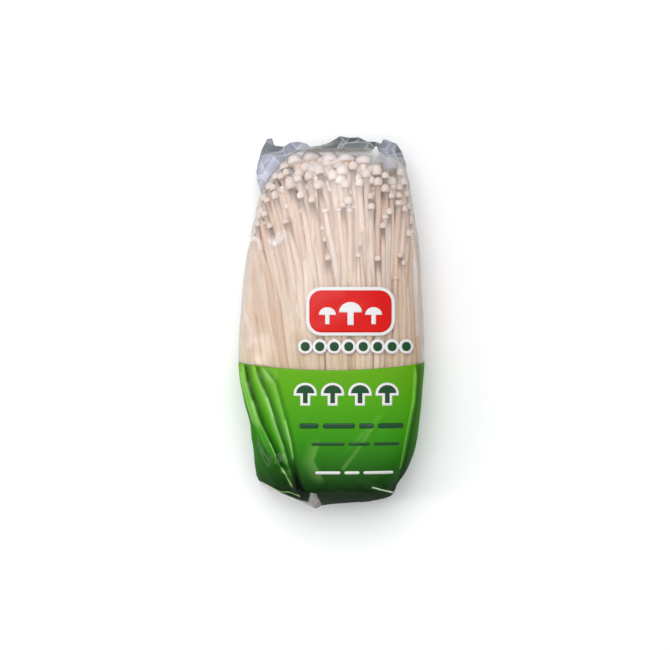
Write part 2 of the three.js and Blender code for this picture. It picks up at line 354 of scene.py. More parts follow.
def beside(line: Outline, x: Points, y: Points) -> tuple[Points, Points, Points]:
    """Measures points against a line of straight pieces.

    Args:
        line: Its corners, drawn downwards.
        x: Places across the pack.
        y: Places along it.

    Returns:
        Distance from the line, a number above 0 on its left, and the place along it from 0 to 1.
    """
    nearest = np.full(np.shape(x), np.inf)
    side = np.zeros(np.shape(x))
    place = np.zeros(np.shape(x))
    count = len(line) - 1
    for k in range(count):
        (ax, ay), (bx, by) = line[k], line[k + 1]
        dx, dy = bx - ax, by - ay
        t = np.clip(((x - ax) * dx + (y - ay) * dy) / (dx * dx + dy * dy), 0, 1)
        gap = np.hypot(x - ax - t * dx, y - ay - t * dy)
        closer = gap < nearest
        nearest = np.where(closer, gap, nearest)
        side = np.where(closer, (x - ax) * dy - (y - ay) * dx, side)
        place = np.where(closer, (k + t) / count, place)
    return nearest, side, place


@dataclass(frozen=True)
class Crease:
    """One fold that stands up from the film along its crest, and may be steeper on one side.

    Left is left of a crest drawn downwards.
    """

    crest: Outline
    left_width: float
    right_width: float
    height: float
    run_out: float = 0.12  # share of the crest over which the fold dies away at each end
    end_height: float = 0.25  # how much of it is left there

    def lift(self, x: Points, y: Points) -> Points:
        """Gives how far the fold stands out of the film.

        Args:
            x: Places across the pack.
            y: Places along it.

        Returns:
            The height at each place.
        """
        nearest, side, place = beside(self.crest, x, y)
        slope = np.clip(1 - nearest / np.where(side > 0, self.left_width, self.right_width), 0, 1)
        taper = np.clip(place / self.run_out, 0, 1) * np.clip((1 - place) / self.run_out, 0, 1)
        return self.height * slope * (self.end_height + (1 - self.end_height) * taper)


class Side(Enum):
    """Sides of a line drawn downwards."""

    LEFT = 1
    RIGHT = -1
    BOTH = 0


@dataclass(frozen=True)
class Band:
    """A strip of film along a line, fading away from it: on the print, painted shade or a painted highlight
    along a fold; on the clear film, added haze.
    """

    line: Outline
    side: Side
    width: float
    depth: float  # on the print, above 0 is painted shade and below 0 a painted highlight; on the clear film it adds haze
    edge: float = 0.9  # how wide the change is at the line itself
    fullness: float = 1.15  # above 1, the strip stays full for a little beside the line

    def tint(self, x: Points, y: Points) -> Points:
        """Gives the strip's depth, sharp along the line and fading away from it.

        Args:
            x: Places across the pack.
            y: Places along it.

        Returns:
            The depth at each place.
        """
        gap, side, _ = beside(self.line, x, y)
        signed = gap * np.sign(side) * self.side.value
        inside = 1.0 if self.side is Side.BOTH else np.clip(0.5 + signed / self.edge, 0, 1)
        return self.depth * np.clip(self.fullness * (1 - gap / self.width), 0, 1) * inside


def all_tints(fold_shade_and_highlights: Sequence[Band], x: Points, y: Points) -> Points:
    """Adds up the depth of many strips at the places x, y."""
    return sum(band.tint(x, y) for band in fold_shade_and_highlights)


def tube_faces(rows: int, columns: int) -> Points:
    """Gives the faces of a tube, facing out.

    Args:
        rows: Number of rings.
        columns: Points in a ring.

    Returns:
        Four point numbers per face.
    """
    row, column = np.meshgrid(np.arange(rows - 1), np.arange(columns), indexing="ij")
    after = (column + 1) % columns
    here, above = row * columns, (row + 1) * columns
    return np.stack([here + column, above + column, above + after, here + after], axis=-1).reshape(-1, 4)


def closed_tube(rings: Points, first_end: Points, last_end: Points) -> tuple[Points, Points]:
    """Closes rings of points with a fan of faces at each end.

    Args:
        rings: Rows of points.
        first_end: Middle of the fan on the first ring.
        last_end: Middle of the fan on the last ring.

    Returns:
        All points, and four point numbers per face. In a fan the last two are the same.
    """
    rows, columns = rings.shape[:2]
    count = rows * columns
    top = count - columns
    edge = np.arange(columns)
    after = (edge + 1) % columns
    first = np.full(columns, count)
    last = first + 1
    first_fan = np.stack([first, edge, after, after], axis=-1)
    last_fan = np.stack([top + after, top + edge, last, last], axis=-1)
    points = np.vstack([rings.reshape(-1, 3), first_end, last_end])
    return points, np.vstack([tube_faces(rows, columns), first_fan, last_fan])


# FINISHES


def film_gloss(tree: Tree, body: Socket, bump: Socket, roughness: float, straight_on: float,
               at_edge: float) -> Socket:
    """Lays the film's outer reflection over what lies under it, on its outer face only.

    Args:
        tree: The node tree.
        body: What is seen through the film.
        bump: The film's fine wrinkles.
        roughness: Roughness of the reflection.
        straight_on: Share of light reflected straight back.
        at_edge: Share reflected at a grazing angle.

    Returns:
        The covered surface.
    """
    gloss = add_node(tree, "BsdfAnisotropic", {
        0: (1.0, 1.0, 1.0, 1.0), "Roughness": roughness, "Normal": bump})
    facing = add_node(tree, "LayerWeight", {"Blend": 0.5, "Normal": bump})
    grazing = add_node(tree, "Math", {0: facing.outputs["Facing"], 1: 5.0}, operation="POWER")
    mirror = add_node(tree, "MapRange", {0: grazing.outputs[0], 3: straight_on, 4: at_edge})
    inner = add_node(tree, "NewGeometry").outputs["Backfacing"]
    outer_only = add_node(tree, "Math", {
        0: mirror.outputs[0], 1: inner}, operation="SUBTRACT", use_clamp=True)
    surface = add_node(tree, "MixShader", {0: outer_only.outputs[0], 1: body, 2: gloss.outputs[0]})
    return surface.outputs[0]


@dataclass(frozen=True)
class MushroomFlesh:
    """Fresh enoki: dense wet flesh that lets light in, cream below, faintly pink near the caps."""

    roughness: float = 0.42
    water_ior: float = 1.36
    reach: tuple[float, float, float] = (1.0, 0.6, 0.4)
    reach_mm: float = 1.0
    fibre_mm: float = 0.5
    fibre_length: float = 0.06  # the pattern's scale along a stem, against that across it
    blotch_mm: float = 11.11
    speck_gap_mm: float = 4.762
    speck_share: float = 0.09  # of that gap, a speck's radius
    specks_from: float = 0.955  # of the cells, by random number, those that have a speck
    y_range: tuple[float, float] = (-0.03, 0.088)  # where the colour changes along the bunch, in metres

    def build(self) -> Material:
        """Makes the material.

        Returns:
            The material.
        """
        material, tree = new_material("mushroom_flesh")
        place = add_node(tree, "TexCoord").outputs["Object"]
        split = add_node(tree, "SeparateXYZ", {0: place})
        height = add_node(tree, "MapRange", {
            0: split.outputs["Y"], 1: self.y_range[0], 2: self.y_range[1], 3: 0.0, 4: 1.0})
        base = add_node(tree, "ValToRGB", {0: height.outputs[0]})
        set_stops(base, [(0.0, "e2ceb2"), (0.35, "ead7c9"), (0.7, "eddbd1"), (1.0, "f5e8e2")])
        tone = add_node(tree, "Attribute", attribute_name="tone").outputs["Fac"]
        tint = add_node(tree, "ValToRGB", {0: tone})
        set_stops(tint, [(0.0, "dfc8b4"), (0.3, "f3e5d8"), (0.7, "fffdfa"), (1.0, "ead9cb")])
        stems = add_node(tree, "Mix", {
            0: 0.85, 6: base.outputs[0], 7: tint.outputs[0]}, data_type="RGBA", blend_type="MULTIPLY")
        on_cap = add_node(tree, "Attribute", attribute_name="cap").outputs["Fac"]
        mixed = add_node(tree, "Mix", {
            0: on_cap, 6: stems.outputs[2], 7: linear("f3eaea")}, data_type="RGBA")
        stretched = add_node(tree, "Mapping", {0: place, "Scale": (1.0, self.fibre_length, 1.0)})
        fibre = add_node(tree, "TexNoise", {
            0: stretched.outputs[0], "Scale": scale_of(self.fibre_mm), "Detail": 3.0})
        blotch = add_node(tree, "TexNoise", {0: place, "Scale": scale_of(self.blotch_mm), "Detail": 2.0})
        streak = add_node(tree, "MapRange", {0: fibre.outputs[0], 1: 0.35, 2: 0.7, 3: 0.0, 4: 0.22})
        warm = add_node(tree, "Mix", {
            0: streak.outputs[0], 6: mixed.outputs[2], 7: linear("e9d5bd")},
            data_type="RGBA", blend_type="MULTIPLY")
        speck = self.specks(tree, place)
        colour = add_node(tree, "Mix", {
            0: speck, 6: warm.outputs[2], 7: linear("6b5138")}, data_type="RGBA")
        bump = add_node(tree, "Bump", {"Strength": 0.25, "Distance": 0.15 * MM, "Height": fibre.outputs[0]})
        rough = add_node(tree, "MapRange", {
            0: blotch.outputs[0], 3: self.roughness - 0.08, 4: self.roughness + 0.1})
        shader = add_node(tree, "BsdfPrincipled", {
            "Base Color": colour.outputs[2], "Roughness": rough.outputs[0], "IOR": self.water_ior,
            "Subsurface Weight": 0.2, "Subsurface Radius": self.reach,
            "Subsurface Scale": self.reach_mm * MM, "Normal": bump.outputs[0]})
        add_node(tree, "OutputMaterial", {0: shader.outputs[0]})
        return material

    def specks(self, tree: Tree, place: Socket) -> Socket:
        """Scatters a few dark specks of growing medium, about half a millimetre across.

        Args:
            tree: The node tree.
            place: Position on the object.

        Returns:
            1 inside a speck and 0 elsewhere.
        """
        cells = add_node(tree, "TexVoronoi", {0: place, "Scale": scale_of(self.speck_gap_mm)})
        near = add_node(tree, "Math", {
            0: cells.outputs["Distance"], 1: self.speck_share}, operation="LESS_THAN")
        pick = add_node(tree, "SeparateColor", {0: cells.outputs["Color"]})
        few = add_node(tree, "Math", {0: pick.outputs[0], 1: self.specks_from}, operation="GREATER_THAN")
        both = add_node(tree, "Math", {0: near.outputs[0], 1: few.outputs[0]}, operation="MULTIPLY")
        return both.outputs[0]


@dataclass(frozen=True)
class ClearFilm:
    """Biaxially oriented polypropylene film: almost invisible where it is taut, grey where it is crushed,
    with painted shade on its crushed facets and painted highlights along its creases and crinkles.
    """

    ior: float = 1.49
    roughness: float = 0.16
    taut_haze: float = 0.05
    crushed_haze: float = 0.86
    edge_haze: float = 0.7  # more haze where it is seen edge on
    edge_gloss: float = 0.6
    patch_mm: float = 6.667
    wrinkle_mm: float = 2.381

    def build(self) -> Material:
        """Makes the material.

        Returns:
            The material.
        """
        material, tree = new_material("clear_film")
        place = add_node(tree, "TexCoord").outputs["Object"]
        crushed, panel, crease = (
            add_node(tree, "Attribute", attribute_name=layer).outputs["Fac"]
            for layer in ("crushed", "panel", "crease"))
        patches = add_node(tree, "TexNoise", {0: place, "Scale": scale_of(self.patch_mm), "Detail": 3.0})
        uneven = add_node(tree, "Math", {0: patches.outputs[0], 1: 0.4, 2: -0.2}, operation="MULTIPLY_ADD")
        folded = add_node(tree, "Math", {0: panel, 1: uneven.outputs[0]}, operation="ADD")
        # The crushed film's grey is painted shade: it steps from facet to facet as panel does, and follows
        # the crushed end's tilt to the light.
        facet_shade = add_node(tree, "ValToRGB", {0: folded.outputs[0]})
        set_stops(facet_shade, [(0.0, "434a48"), (0.3, "696f71"), (0.6, "9495a4"), (0.95, "cac9dc")])
        settled = add_node(tree, "Mix", {
            0: crushed, 6: linear("b9b5ae"), 7: facet_shade.outputs[0]}, data_type="RGBA")
        # The crease layer paints white highlights along the creases and crinkles.
        haze_and_highlight = add_node(tree, "Mix", {
            0: crease, 6: settled.outputs[2], 7: linear("ececf2")}, data_type="RGBA")
        wrinkle = add_node(tree, "TexNoise", {0: place, "Scale": scale_of(self.wrinkle_mm), "Detail": 2.0})
        bump = add_node(tree, "Bump", {
            "Strength": 0.3, "Distance": 0.2 * MM, "Height": wrinkle.outputs[0]}).outputs[0]
        edge_on = add_node(tree, "LayerWeight", {"Blend": 0.5}).outputs["Facing"]
        long_way = add_node(tree, "Math", {0: edge_on, 1: 4.0}, operation="POWER")
        shown = add_node(tree, "Math", {
            0: long_way.outputs[0], 1: self.edge_haze, 2: crushed},
            operation="MULTIPLY_ADD", use_clamp=True)
        veil = add_node(tree, "MapRange", {0: shown.outputs[0], 3: self.taut_haze, 4: self.crushed_haze})
        clear = add_node(tree, "BsdfTransparent", {0: (0.985, 0.985, 0.985, 1.0)})
        haze = add_node(tree, "BsdfDiffuse", {0: haze_and_highlight.outputs[2], "Normal": bump})
        body = add_node(tree, "MixShader", {0: veil.outputs[0], 1: clear.outputs[0], 2: haze.outputs[0]})
        straight_on = ((self.ior - 1) / (self.ior + 1)) ** 2
        surface = film_gloss(tree, body.outputs[0], bump, self.roughness, straight_on, self.edge_gloss)
        add_node(tree, "OutputMaterial", {0: surface})
        return material


@dataclass(frozen=True)
class PrintedFilm:
    """The same film, gravure printed on its inner side: green ink under gloss, darker at the root end, with
    painted shade and painted highlights along its folds.
    """

    ior: float = 1.26
    roughness: float = 0.2
    edge_gloss: float = 0.08
    wrinkle_mm: float = 6.25
    darkest_y: float = -0.095  # in metres

    def build(self) -> Material:
        """Makes the material.

        Returns:
            The material.
        """
        material, tree = new_material("printed_film")
        place = add_node(tree, "TexCoord").outputs["Object"]
        split = add_node(tree, "SeparateXYZ", {0: place})
        down = add_node(tree, "MapRange", {
            0: split.outputs["Y"], 1: PRINT_TOP * MM, 2: self.darkest_y, 3: 0.0, 4: 1.0})
        # Darker towards the root end: partly the print's own gradient, partly painted shade where the pack's
        # end turns from the light.
        ink = add_node(tree, "ValToRGB", {0: down.outputs[0]})
        set_stops(ink, [(0.0, "5fa010"), (0.25, "4b9a0c"), (0.48, "338708"), (0.64, "236a09"),
                        (0.76, "184a0b"), (0.86, "0c2a08"), (1.0, "061705")])
        bare, tint, panel = (
            add_node(tree, "Attribute", attribute_name=layer).outputs["Fac"]
            for layer in ("bare", "tint", "panel"))
        # tint above 0 is painted shade on a fold's shaded side, below 0 a painted highlight on its lit side
        # and crest.
        painted_shade = add_node(tree, "MapRange", {0: tint, 1: 0.0, 2: 1.0})
        painted_highlight = add_node(tree, "MapRange", {0: tint, 1: 0.0, 2: -1.0})
        shaded_ink = add_node(tree, "Mix", {
            0: painted_shade.outputs[0], 6: ink.outputs[0], 7: linear("4a5c42")},
            data_type="RGBA", blend_type="MULTIPLY")
        # Pale green to white colours of the painted highlights.
        stretched = add_node(tree, "ValToRGB", {0: painted_highlight.outputs[0]})
        set_stops(stretched, [(0.0, "9fd06c"), (0.65, "b4dc8c"), (1.0, "f0f6ec")])
        shaded_and_highlit_ink = add_node(tree, "Mix", {
            0: painted_highlight.outputs[0], 6: shaded_ink.outputs[2], 7: stretched.outputs[0]}, data_type="RGBA")
        # The unprinted strip's grey follows panel: painted shade that steps from facet to facet.
        unprinted = add_node(tree, "ValToRGB", {0: panel})
        set_stops(unprinted, [(0.1, "8f8a88"), (0.5, "c9c2bf"), (0.9, "f2eeec")])
        colour = add_node(tree, "Mix", {
            0: bare, 6: shaded_and_highlit_ink.outputs[2], 7: unprinted.outputs[0]}, data_type="RGBA")
        wrinkle = add_node(tree, "TexNoise", {0: place, "Scale": scale_of(self.wrinkle_mm), "Detail": 2.0})
        bump = add_node(tree, "Bump", {
            "Strength": 0.3, "Distance": 0.3 * MM, "Height": wrinkle.outputs[0]}).outputs[0]
        body = add_node(tree, "BsdfDiffuse", {0: colour.outputs[2], "Normal": bump})
        straight_on = ((self.ior - 1) / (self.ior + 1)) ** 2
        surface = film_gloss(tree, body.outputs[0], bump, self.roughness, straight_on, self.edge_gloss)
        add_node(tree, "OutputMaterial", {0: surface})
        return material


class Ink(Enum):
    """The printing inks of the marks."""

    WHITE = "e6e3e2"
    DARK_GREEN = "1d4a2a"
    RED = "d40a06"


@dataclass(frozen=True)
class InkFinish:
    """Gravure ink seen through the film's gloss."""

    ink: Ink
    ior: float = 1.3
    roughness: float = 0.2
    grain_mm: float = 1.111

    def build(self) -> Material:
        """Makes the material.

        Returns:
            The material.
        """
        material, tree = new_material(f"ink_{self.ink.name.lower()}")
        place = add_node(tree, "TexCoord").outputs["Object"]
        grain = add_node(tree, "TexNoise", {0: place, "Scale": scale_of(self.grain_mm), "Detail": 2.0})
        uneven = add_node(tree, "MapRange", {0: grain.outputs[0], 3: 0.0, 4: 0.22})
        colour = add_node(tree, "Mix", {
            0: uneven.outputs[0], 6: linear(self.ink.value), 7: linear("8c8c8c")},
            data_type="RGBA", blend_type="MULTIPLY")
        shader = add_node(tree, "BsdfPrincipled", {
            "Base Color": colour.outputs[2], "Roughness": self.roughness, "IOR": self.ior})
        add_node(tree, "OutputMaterial", {0: shader.outputs[0]})
        return material


# THE MUSHROOMS


@dataclass
class MeshParts:
    """Points and faces of many closed tubes, gathered for one mesh."""

    points: list[Points] = field(default_factory=list)
    faces: list[Points] = field(default_factory=list)
    tones: list[Points] = field(default_factory=list)
    caps: list[Points] = field(default_factory=list)
    count: int = 0

    def add(self, rings: Points, ends: Points, tone: float, cap: Points) -> None:
        """Adds one tube.

        Args:
            rings: Its points, in rings.
            ends: The two points that close it.
            tone: Its own shade, from 0 to 1.
            cap: How white each ring and then each end is, from 0 to 1.
        """
        points, faces = closed_tube(rings, *ends)
        self.points.append(points)
        self.faces.append(faces + self.count)
        self.tones.append(np.full(len(points), tone))
        self.caps.append(np.append(np.repeat(cap[:-2], rings.shape[1]), cap[-2:]))
        self.count += len(points)


STEM_START = -78.0  # where the outer stems leave the root block
ROOT_TUCK = 1.8  # how much deeper their lower ends lie, where the film turns in round them
TUCKED = (-62.0, -76.0)  # from where to where they go deeper
SIDE_LIMIT = 0.985  # how near a path under the front comes to the pack's side
LEAN_LENGTH = 62.0  # a leaning stem has turned upright about this far below its cap
# Place across of a stem, and how far it leans to the right for each mm down.
LEAN_SLOPE = ((-42, 0.40), (-18, 0.28), (-4, 0.20), (8, 0.06), (25, 0.0), (36, -0.04), (42, -0.14))
FILL_LEAN = ((-46, -0.22), (-20, -0.16), (10, -0.03), (46, 0.0))

# Side views of a cap: place from its rim at 0 to its top at 1, and share of its radius.
BALL_CAP = ((-0.2, 0.35), (-0.1, 0.74), (0.08, 0.95), (0.3, 1.0), (0.58, 0.89), (0.82, 0.64), (0.96, 0.32))
DOME_CAP = ((-0.2, 0.4), (-0.14, 0.76), (0.02, 0.96), (0.24, 1.0), (0.52, 0.93), (0.78, 0.71), (0.95, 0.36))
DOME_FROM = 2.9  # caps wider than this radius have opened to a dome

CAP_GROWTH = 1.1  # the caps are a little wider than what shows of them
CAP_SEEN = 0.85  # share of a cap's height in the photograph that is its own
CAP_LEAST = 1.05  # least height of a cap, in its radius
CAP_TO_STEM = ((1.5, 1.5), (4.5, 2.3))  # radius of a cap, and radius of its stem
UPPER_CAPS = (30.0, 85.0)  # the higher a cap is between these, the deeper its stem lies
UPPER_DEPTH = 5.5

# The frame of the photograph, and its caps: px across and down, width and height in px.
FRAME_PX = (670, 650)
MM_PER_PX = 0.507
MIDDLE_PX = (331.5, 322.5)
FRONT_CAPS = [
    (296, 160, 18, 10.5), (311, 155, 18, 13), (329.5, 156, 15, 14), (346, 158, 16, 10),
    (363, 160, 15, 10), (342, 170, 12.5, 11), (332.5, 175, 9.5, 11), (376.5, 170, 10, 11),
    (385, 175.5, 7, 7), (377.6, 182, 8.5, 8.5), (384.5, 188.5, 8, 8), (290, 183, 10, 13),
    (299, 173, 9, 9), (298, 178.5, 8, 8), (300.6, 195.7, 7, 7), (345, 185, 8.5, 8), (348, 201, 8, 8),
    (342, 205.5, 7, 7), (325.3, 211.7, 7, 5), (338.3, 210.8, 6.5, 4.5), (349.5, 211.5, 6.5, 5),
    (370, 197, 5.5, 6), (398, 203, 9, 7), (398.3, 195.5, 6, 6), (388.8, 211.8, 6.5, 7),
    (384.6, 217.4, 6.5, 5), (382.5, 226.2, 6.5, 6), (410.2, 221, 6, 7), (408.1, 233.2, 6, 7),
    (400, 255, 6.5, 6), (402.2, 262.7, 6.5, 6), (328, 258, 6, 6), (358, 255.6, 5, 5),
    (377.2, 258.5, 6, 6), (324.3, 240.2, 3.5, 5), (286, 221.6, 7, 6), (275, 195, 7, 9), (286, 172, 7, 7),
    (395, 278, 5.5, 4), (361, 232, 3.5, 3), (360, 245, 4, 4), (281, 176, 7, 7), (273, 187, 7, 7),
    (267, 200, 6.5, 6), (260, 216, 6, 6), (255, 232, 6, 5), (399, 187, 6, 7), (391, 196, 6, 6),
    (404, 209, 6, 6), (384, 159, 9, 8), (393, 164, 9, 9), (400, 171, 8, 9), (404, 181, 8, 8),
    (407, 193, 7, 8), (409, 206, 7, 7), (353, 166, 9, 9), (319, 170, 10, 10), (309, 176, 9, 9),
    (366, 174, 9, 9), (359, 183, 8, 8), (318, 186, 8, 8), (283, 166, 9, 8), (275, 176, 8, 8),
    (268, 186, 8, 8), (262, 198, 7, 7), (257, 211, 7, 7), (253, 223, 6, 7), (371, 207, 7, 7),
    (312, 200, 7, 7), (265, 214, 6, 6), (270, 226, 6, 6),
]


@dataclass
class EnokiBunch:
    """The mushrooms: a front layer placed as it shows, and filling layers round and behind it."""

    seed: int = 417
    gap: float = 0.55  # from the film's outer face to the mushrooms under it
    sides: int = 12
    stem_rows: int = 13
    stem_radius: tuple[float, float] = (1.4, 2.05)
    # Each filling layer: how many mushrooms, the rows of points of one, and where their tips are.
    side_count: int = 46
    side_rows: int = 14
    side_tips: tuple[float, float] = (20.0, 73.0)
    front_fill: int = 44
    front_rows: int = 18
    front_tips: tuple[float, float] = (46.0, 70.0)
    front_half: float = 46.0  # half the width that the layer has at the root end
    second_fill: int = 54
    second_rows: int = 16
    second_tips: tuple[float, float] = (60.0, 83.0)
    second_half: float = 0.95  # the same, as a share of the pack's
    heart_count: int = 64
    heart_rows: int = 12
    heart_from: float = -10.0
    heart_tip: float = 86.2
    heart_fall: float = 15.0  # how much lower the outermost tips are
    core_from: float = -88.0
    core_to: float = 64.0
    core_rings: int = 60
    core_columns: int = 180
    core_ridges: int = 60
    # Place along the pack, and how deep the dense inside lies there.
    core_insets: Outline = (
        (-88, 10.0), (-85, 4.2), (-80, 2.6), (-70, 2.4), (-64, 5.0), (-10, 6.5), (8, 7.5), (30, 8.5),
        (50, 10.5), (64, 14.0),
    )
    parts: MeshParts = field(default_factory=MeshParts)

    def __post_init__(self) -> None:
        """Starts the seeded random numbers."""
        self.rng = np.random.default_rng(self.seed)

    def profile(self, rim: float, radius: float, cap_radius: float, cap_height: float,
                phase: float) -> tuple[Points, Points]:
        """Gives a mushroom's side view: a stem with slight waves, slimmer just under its cap.

        Args:
            rim: How far along it the cap's rim is.
            radius: The stem's radius.
            cap_radius: The cap's radius.
            cap_height: From the cap's rim to its top.
            phase: Where the stem's waves start.

        Returns:
            Places along the mushroom, and the radius at each.
        """
        stops = np.linspace(0, rim - 0.25 * cap_radius, self.stem_rows)
        neck = min(radius * 0.95, cap_radius * 0.62)
        slimming = smoothstep(30, 3, rim - stops)
        waves = 1.0 + 0.05 * np.sin(stops * 0.21 + phase)
        stem = (radius + (neck - radius) * slimming) * waves
        place, share = np.array(DOME_CAP if cap_radius > DOME_FROM else BALL_CAP).T
        cap = np.where(place < 0, neck + (cap_radius - neck) * share, cap_radius * share)
        along = np.concatenate([stops, [rim + place[0] * cap_height], rim + place * cap_height])
        return along, np.concatenate([stem, [neck], cap])

    def stem(self, path: Points, radius: float, cap_radius: float, cap_height: float, tone: float,
             pressed: float = 0.0) -> None:
        """Adds one mushroom along a path.

        Args:
            path: Points from the root to the top of the cap.
            radius: The stem's radius.
            cap_radius: The cap's radius.
            cap_height: From the cap's rim to its top.
            tone: Its own shade.
            pressed: How much the film flattens the stem, from 0 to 1.
        """
        lengths = np.concatenate([[0], np.cumsum(np.linalg.norm(np.diff(path, axis=0), axis=1))])
        rim = lengths[-1] - cap_height
        along, width = self.profile(rim, radius, cap_radius, cap_height, tone * 40)
        look = 0.8  # how far before and behind a ring its direction is taken
        behind, centre, ahead = (
            np.stack([np.interp(along + step, lengths, path[:, k]) for k in range(3)], axis=-1)
            for step in (-look, 0, look))
        tangent = ahead - behind
        tangent /= np.linalg.norm(tangent, axis=1)[:, None]
        across = np.cross(tangent, [0, 0, 1.0])
        across /= np.linalg.norm(across, axis=1)[:, None]
        over = np.cross(across, tangent)
        turn = (np.arange(self.sides) / self.sides * 2 * math.pi)[None, :, None]
        flattened = pressed * smoothstep(2, 24, rim - along)[:, None, None]
        ring = (across[:, None, :] * np.cos(turn) * (1 + 0.16 * flattened)
                + over[:, None, :] * np.sin(turn) * (1 - 0.12 * flattened))
        whiteness = np.clip(cap_radius / 4.5, 0.25, 0.95)
        on_cap = whiteness * smoothstep(-0.3 * cap_height, 0.2 * cap_height, along - rim)
        self.parts.add(centre[:, None, :] + ring * width[:, None, None], np.array([centre[0], path[-1]]),
                       tone, np.append(on_cap, [0.0, whiteness]))

    def front_path(self, x: Points, y: Points, depth: Points, margin: Points, ahead: Points = 0.0) -> Points:
        """Gives a path under the front film.

        Args:
            x: Places across the pack, taken in where they would leave it.
            y: Places from the root to the tip.
            depth: How much deeper than the outermost layer.
            margin: Distance of the path inside the film's outer face at depth 0.
            ahead: How far ahead the film's height is taken, for a wide cap under a falling film.

        Returns:
            The path's points.
        """
        margin = margin + ROOT_TUCK * smoothstep(*TUCKED, y)
        x0, _, half_width, _, _ = FORM.section(y - ahead, margin)
        x = x0 + np.clip(x - x0, -SIDE_LIMIT * half_width, SIDE_LIMIT * half_width)
        x1, z1, far_width, half_height, floor = FORM.section(y + ahead, margin)
        share = np.clip(np.abs(x - x1) / far_width, 0, SIDE_LIMIT)
        rise = half_height * (1 - share**SECTION_POWER) ** (1 / SECTION_POWER)
        z = np.maximum(z1 + rise - depth, floor + 2)
        return np.stack([x, y, z], axis=-1)

    def lean(self, x: float, drop: Points) -> Points:
        """Gives how far a stem has moved to the right, drop below its cap at x: the left ones lean most."""
        return read_line(LEAN_SLOPE, x) * LEAN_LENGTH * (1 - np.exp(-np.maximum(drop, 0) / LEAN_LENGTH))

    def front(self) -> None:
        """Places the mushrooms whose caps show in the front, each leaning as the bunch does there."""
        low_rows, near_rows = 14, 5
        turn_row = low_rows - 2  # from here on a path falls straight to its cap
        for px, py, wide, high in FRONT_CAPS:
            x = (px - MIDDLE_PX[0]) * MM_PER_PX
            y_cap = (MIDDLE_PX[1] - py) * MM_PER_PX
            cap_radius = wide * MM_PER_PX / 2 * CAP_GROWTH
            cap_height = max(high * MM_PER_PX * CAP_SEEN, cap_radius * CAP_LEAST)
            radius = read_line(CAP_TO_STEM, cap_radius) * self.rng.uniform(0.92, 1.08)
            tip = y_cap + cap_height * 0.5
            y = np.append(np.linspace(STEM_START, tip - 12, low_rows), np.linspace(tip - 9, tip, near_rows))
            drop = y_cap - y
            waves = np.sin(y * self.rng.uniform(0.04, 0.09) + self.rng.uniform(0, 6))
            sway = 0.9 * waves * smoothstep(0, 20, drop)
            layer = UPPER_DEPTH * np.clip((y_cap - UPPER_CAPS[0]) / (UPPER_CAPS[1] - UPPER_CAPS[0]), 0, 1)
            near_cap = smoothstep(tip - 14, tip - 5, y)
            path = self.front_path(x + self.lean(x, drop) + sway, y, layer * smoothstep(-2, 24, drop),
                                   self.gap + radius + (cap_radius - radius) * near_cap,
                                   0.15 * cap_height * near_cap)
            before_cap = np.clip((y - y[turn_row]) / (tip - cap_height - y[turn_row]), 0, 1)
            levelled = path[turn_row, 2] + (path[-1, 2] - path[turn_row, 2]) * before_cap
            path[turn_row + 1:, 2] = np.minimum(levelled, path[:, 2])[turn_row + 1:]
            self.stem(path, radius, cap_radius, cap_height, self.rng.uniform(0.1, 1.0), 0.8)

    def fill_front(self) -> None:
        """Fills between the front mushrooms with stems whose own caps lie under them."""
        for k in range(self.front_fill):
            low_x = self.front_half * (2 * (k + self.rng.uniform(0.1, 0.9)) / self.front_fill - 1)
            tip = self.rng.uniform(*self.front_tips)
            y = np.linspace(STEM_START, tip, self.front_rows)
            sway = 0.8 * np.sin(y * self.rng.uniform(0.04, 0.08) + k)
            radius = self.rng.uniform(*self.stem_radius)
            depth = self.rng.uniform(0.0, 2.0) + 5.0 * smoothstep(0, 50, y)
            x = low_x + read_line(FILL_LEAN, low_x) * (y + 30) + sway
            path = self.front_path(x, y, depth, self.gap + radius)
            self.stem(path, radius, radius * 1.5, radius * 1.5, self.rng.uniform(0, 1), 1.0)

    def fill_second(self) -> None:
        """Puts a second layer behind the first, which shows in the gaps."""
        for k in range(self.second_fill):
            share = self.second_half * (2 * (k + self.rng.uniform(0.1, 0.9)) / self.second_fill - 1)
            low, high = self.second_tips
            tip = self.rng.uniform(low, high - 20 * share**2)
            y = np.linspace(STEM_START, tip, self.second_rows)
            x0, _, half_width, _, _ = FORM.section(y)
            radius = self.rng.uniform(1.6, 2.2)
            depth = 3.2 + 4.0 * smoothstep(10, 60, y)
            x = x0 + half_width * share + np.sin(y * 0.05 + k * 2)
            path = self.front_path(x, y, depth, self.gap + radius)
            self.stem(path, radius, radius * 1.55, radius * 1.6, self.rng.uniform(0, 0.8), 0.6)

    def fill_sides(self) -> None:
        """Covers the sides and the back of the bunch, from just above its left side round to its right."""
        first_turn, arc = 168, 204
        for k in range(self.side_count):
            turn = math.radians(first_turn + arc * (k + 0.5) / self.side_count)
            low, high = self.side_tips
            tip = low + (high - low) * math.sqrt(self.rng.uniform(0, 1))
            y = np.linspace(STEM_START, tip, self.side_rows)
            radius = self.rng.uniform(*self.stem_radius)
            cap_radius = radius * self.rng.uniform(1.2, 1.6)
            inset = self.gap + 0.7 + radius + (cap_radius - radius) * smoothstep(tip - 12, tip, y)
            inset = inset + ROOT_TUCK * smoothstep(*TUCKED, y)
            path = FORM.point(y, turn + 0.02 * np.sin(y * 0.05 + k), inset)
            self.stem(path, radius, cap_radius, cap_radius * 1.2, self.rng.uniform(0, 1))

